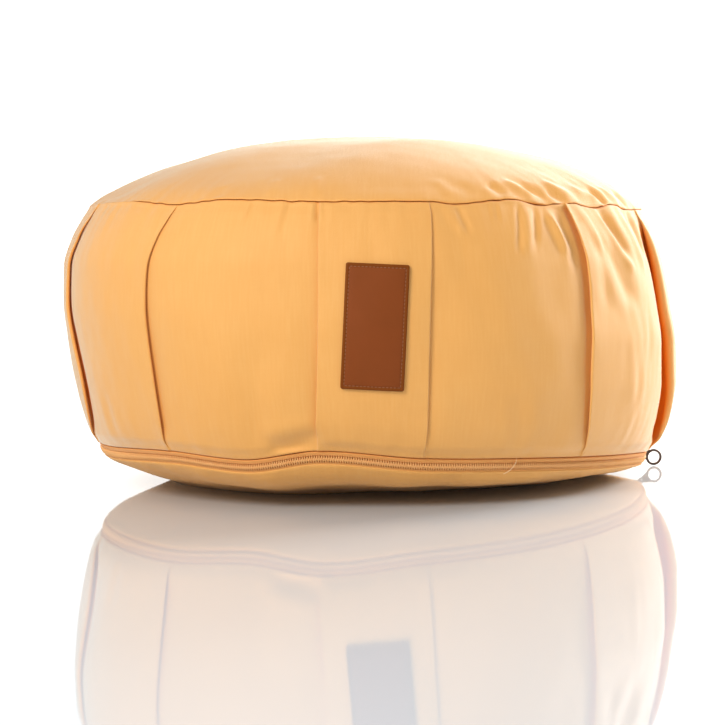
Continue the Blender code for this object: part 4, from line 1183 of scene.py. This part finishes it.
def makePatch():
    near = np.array((
        0, 0.06, 0.16, 0.32, 0.52, 0.75, 1.0, 1.25, 1.45, 1.62, 1.78, 1.95, 2.15, 2.45, 2.9, 3.5,
    ))
    lines = []
    for size in (patch["width"], patch["height"]):
        inner = np.arange(-size / 2 + 4.3, size / 2 - 4.2, 1.0)
        lines.append(np.concatenate((near - size / 2, inner, (size / 2 - near)[::-1])))
    x, y = np.meshgrid(*lines, indexing="ij")
    fromSide, fromEnd = patch["width"] / 2 - np.abs(x), patch["height"] / 2 - np.abs(y)
    fromEdge = np.minimum(fromSide, fromEnd)
    # the corners are drawn in round
    corner = patch["cornerRound"]
    a, b = np.maximum(corner - fromSide, 0), np.maximum(corner - fromEnd, 0)
    draw = np.where(np.hypot(a, b) > 0, np.maximum(a, b) / np.maximum(np.hypot(a, b), 1e-9), 1)
    x = np.sign(x) * (np.abs(x) - a * (1 - draw))
    y = np.sign(y) * (np.abs(y) - b * (1 - draw))
    surface, out = frontSurface(x, y)
    face = surface + out * (patch["seat"] + leatherFace(fromEdge))[..., None]
    back = surface + out * (patch["seat"] - 0.5)
    columns, rows = x.shape
    here = np.arange(columns * rows).reshape(columns, rows)
    quads = np.stack((here[:-1, :-1], here[1:, :-1], here[1:, 1:], here[:-1, 1:]), axis=-1).reshape(-1, 4)
    behind = quads[:, ::-1] + columns * rows
    rim = np.concatenate((here[:, 0], here[-1, 1:], here[-2::-1, -1], here[0, -2:0:-1]))
    nextRim = np.roll(rim, -1)
    wall = np.stack((rim, rim + columns * rows, nextRim + columns * rows, nextRim), axis=-1)
    points = np.vstack((face.reshape(-1, 3), back.reshape(-1, 3))) * mm
    mesh = bpy.data.meshes.new("leatherPatch")
    mesh.from_pydata(points.tolist(), [], np.vstack((quads, behind, wall)).tolist())
    layer = mesh.uv_layers.new(name="cloth")
    places = np.stack((x.ravel(), y.ravel()), axis=-1)
    which = np.zeros(len(mesh.loops), int)
    mesh.loops.foreach_get("vertex_index", which)
    layer.data.foreach_set("uv", places[which % len(places)].astype(np.float32).ravel())
    turnOutwards(mesh)
    piece = newObject("leatherPatch", mesh, leatherMaterial())
    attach(piece, "root")
    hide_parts("leather_patch")
    print("patch:", len(mesh.polygons), "faces")


def makePatchThread():
    halfWide = patch["width"] / 2 - patch["grooveFromEdge"]
    halfHigh = patch["height"] / 2 - patch["grooveFromEdge"]
    shape = bmesh.new()
    corners = np.array(((-1, -1), (1, -1), (1, 1), (-1, 1))) * (halfWide, halfHigh)
    for start, end in zip(corners, np.roll(corners, -1, axis=0)):
        length = np.linalg.norm(end - start)
        count = round(length / patch["stitchPitch"])
        for i in range(count):
            along = (np.array((-1, -0.75, -0.35, 0.0, 0.35, 0.75, 1)) * patch["stitchLength"] / 2
                     + (i + 0.5) * length / count)
            flat = start + (end - start) * (along / length)[:, None]
            surface, out = frontSurface(flat[:, 0], flat[:, 1])
            bow = np.array((-0.22, -0.02, 0.10, 0.13, 0.10, -0.02, -0.22))
            groundHeight = patch["seat"] + leatherFace(np.full(7, patch["grooveFromEdge"]))
            path = surface + out * (groundHeight + bow)[:, None]
            addTube(shape, path, patch["stitchWire"], 8)
    mesh = bpy.data.meshes.new("patchThread")
    bmesh.ops.recalc_face_normals(shape, faces=shape.faces)
    shape.to_mesh(mesh)
    shape.free()
    mesh.transform(Matrix.Scale(mm, 4))
    piece = newObject("patchThread", mesh, threadMaterial())
    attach(piece, "root")
    print("patch thread:", len(mesh.polygons), "faces")


def addTube(shape, path, wire, sides):
    rows = []
    for i, place in enumerate(path):
        ahead = Vector(path[min(i + 1, len(path) - 1)] - path[max(i - 1, 0)]).normalized()
        beside = ahead.orthogonal().normalized()
        above = ahead.cross(beside)
        thin = 0.6 if i in (0, len(path) - 1) else 1.0
        rows.append([
            shape.verts.new(Vector(place) + (beside * math.cos(2 * math.pi * j / sides)
                                            + above * math.sin(2 * math.pi * j / sides)) * wire * thin)
            for j in range(sides)
        ])
    joinRings(shape, rows)
    shape.faces.new(rows[0][::-1])
    shape.faces.new(rows[-1])


makePatch()
makePatchThread()


# a pale glossy floor, light all round and three soft lamps; sizes here are in metres, apart
# from the camera's
studio = {
    "floorSize": 8.0, "floorColour": (0.72, 0.79, 0.85), "floorRoughness": 0.04, "skyStrength": 0.50,
    "skyColour": (1, 0.98, 0.95, 1),
    "horizonBehind": 1.8, "horizonAhead": 0.72, "horizonRise": 0.5, "horizonTurn": (-0.6, 0.9),
    # name, place, the point it shines at, width, watts, colour
    "lamps": (
        ("keyRight", (0.72, 0.30, 0.40), (0.05, 0, 0.1), 0.4, 7.8, (1.0, 0.99, 0.97)),
        ("backRight", (0.62, 1.38, 0.50), (0, 0, 0.15), 0.7, 14, (1.0, 0.99, 0.98)),
        ("fillLeft", (-1.10, -1.53, 1.2), (0, 0, 0.08), 0.9, 28.5, (1.0, 0.98, 0.96)),
    ),
    "cameraPlace": (-4.1, -1226.0, 145.0), "tiltDown": 3.80, "roll": 1.2, "lens": 110.19, "sensor": 36.0,
}


def makeFloor():
    mesh = bpy.data.meshes.new("floor")
    half = studio["floorSize"] / 2
    corners = [(-half, -half, 0), (half, -half, 0), (half, half, 0), (-half, half, 0)]
    mesh.from_pydata(corners, [], [(0, 1, 2, 3)])
    made, _, _, shader = newMaterial("paleFloor")
    shader.inputs["Base Color"].default_value = (*studio["floorColour"], 1)
    shader.inputs["Roughness"].default_value = studio["floorRoughness"]
    floor = newObject("floor", mesh, made)
    floor.location.z = -0.0002


# light all round, brightest near the horizon and behind, where the floor mirrors it
def makeSky():
    world = bpy.data.worlds.new("studio")
    world.use_nodes = True
    nodes, links = world.node_tree.nodes, world.node_tree.links
    split = nodes.new("ShaderNodeSeparateXYZ")
    links.new(nodes.new("ShaderNodeTexCoord").outputs["Generated"], split.inputs[0])
    horizon = rangeNode(nodes, links, split.outputs[1], *studio["horizonTurn"],
                        studio["horizonAhead"], studio["horizonBehind"], "SMOOTHSTEP")
    rise = mathNode(nodes, links, "ABSOLUTE", split.outputs[2])
    strength = rangeNode(nodes, links, rise, 0.0, studio["horizonRise"],
                         horizon, studio["skyStrength"], "SMOOTHSTEP")
    background = nodes["Background"]
    background.inputs["Color"].default_value = studio["skyColour"]
    links.new(strength, background.inputs["Strength"])
    bpy.context.scene.world = world


def makeLamp(name, place, aim, size, watts, colour):
    lamp = bpy.data.lights.new(name, "AREA")
    lamp.shape = "DISK"
    lamp.size = size
    lamp.energy = watts
    lamp.color = colour
    placed = bpy.data.objects.new(name, lamp)
    placed.location = place
    placed.rotation_euler = (Vector(aim) - Vector(place)).to_track_quat("-Z", "Y").to_euler()
    bpy.context.scene.collection.objects.link(placed)


def makeStudio():
    makeFloor()
    makeSky()
    bpy.context.scene.view_settings.view_transform = "Standard"
    for lamp in studio["lamps"]:
        makeLamp(*lamp)


def makeCamera():
    lens = bpy.data.cameras.new("camera")
    lens.lens = studio["lens"]
    lens.sensor_width = studio["sensor"]
    lens.clip_start = 0.05
    camera = bpy.data.objects.new("camera", lens)
    turn = Matrix.Rotation(math.radians(90 - studio["tiltDown"]), 4, "X")
    turn = turn @ Matrix.Rotation(math.radians(-studio["roll"]), 4, "Z")
    camera.matrix_world = Matrix.Translation(Vector(studio["cameraPlace"]) * mm) @ turn
    bpy.context.scene.collection.objects.link(camera)
    bpy.context.scene.camera = camera


makeStudio()
makeCamera()
print("studio and camera ready")
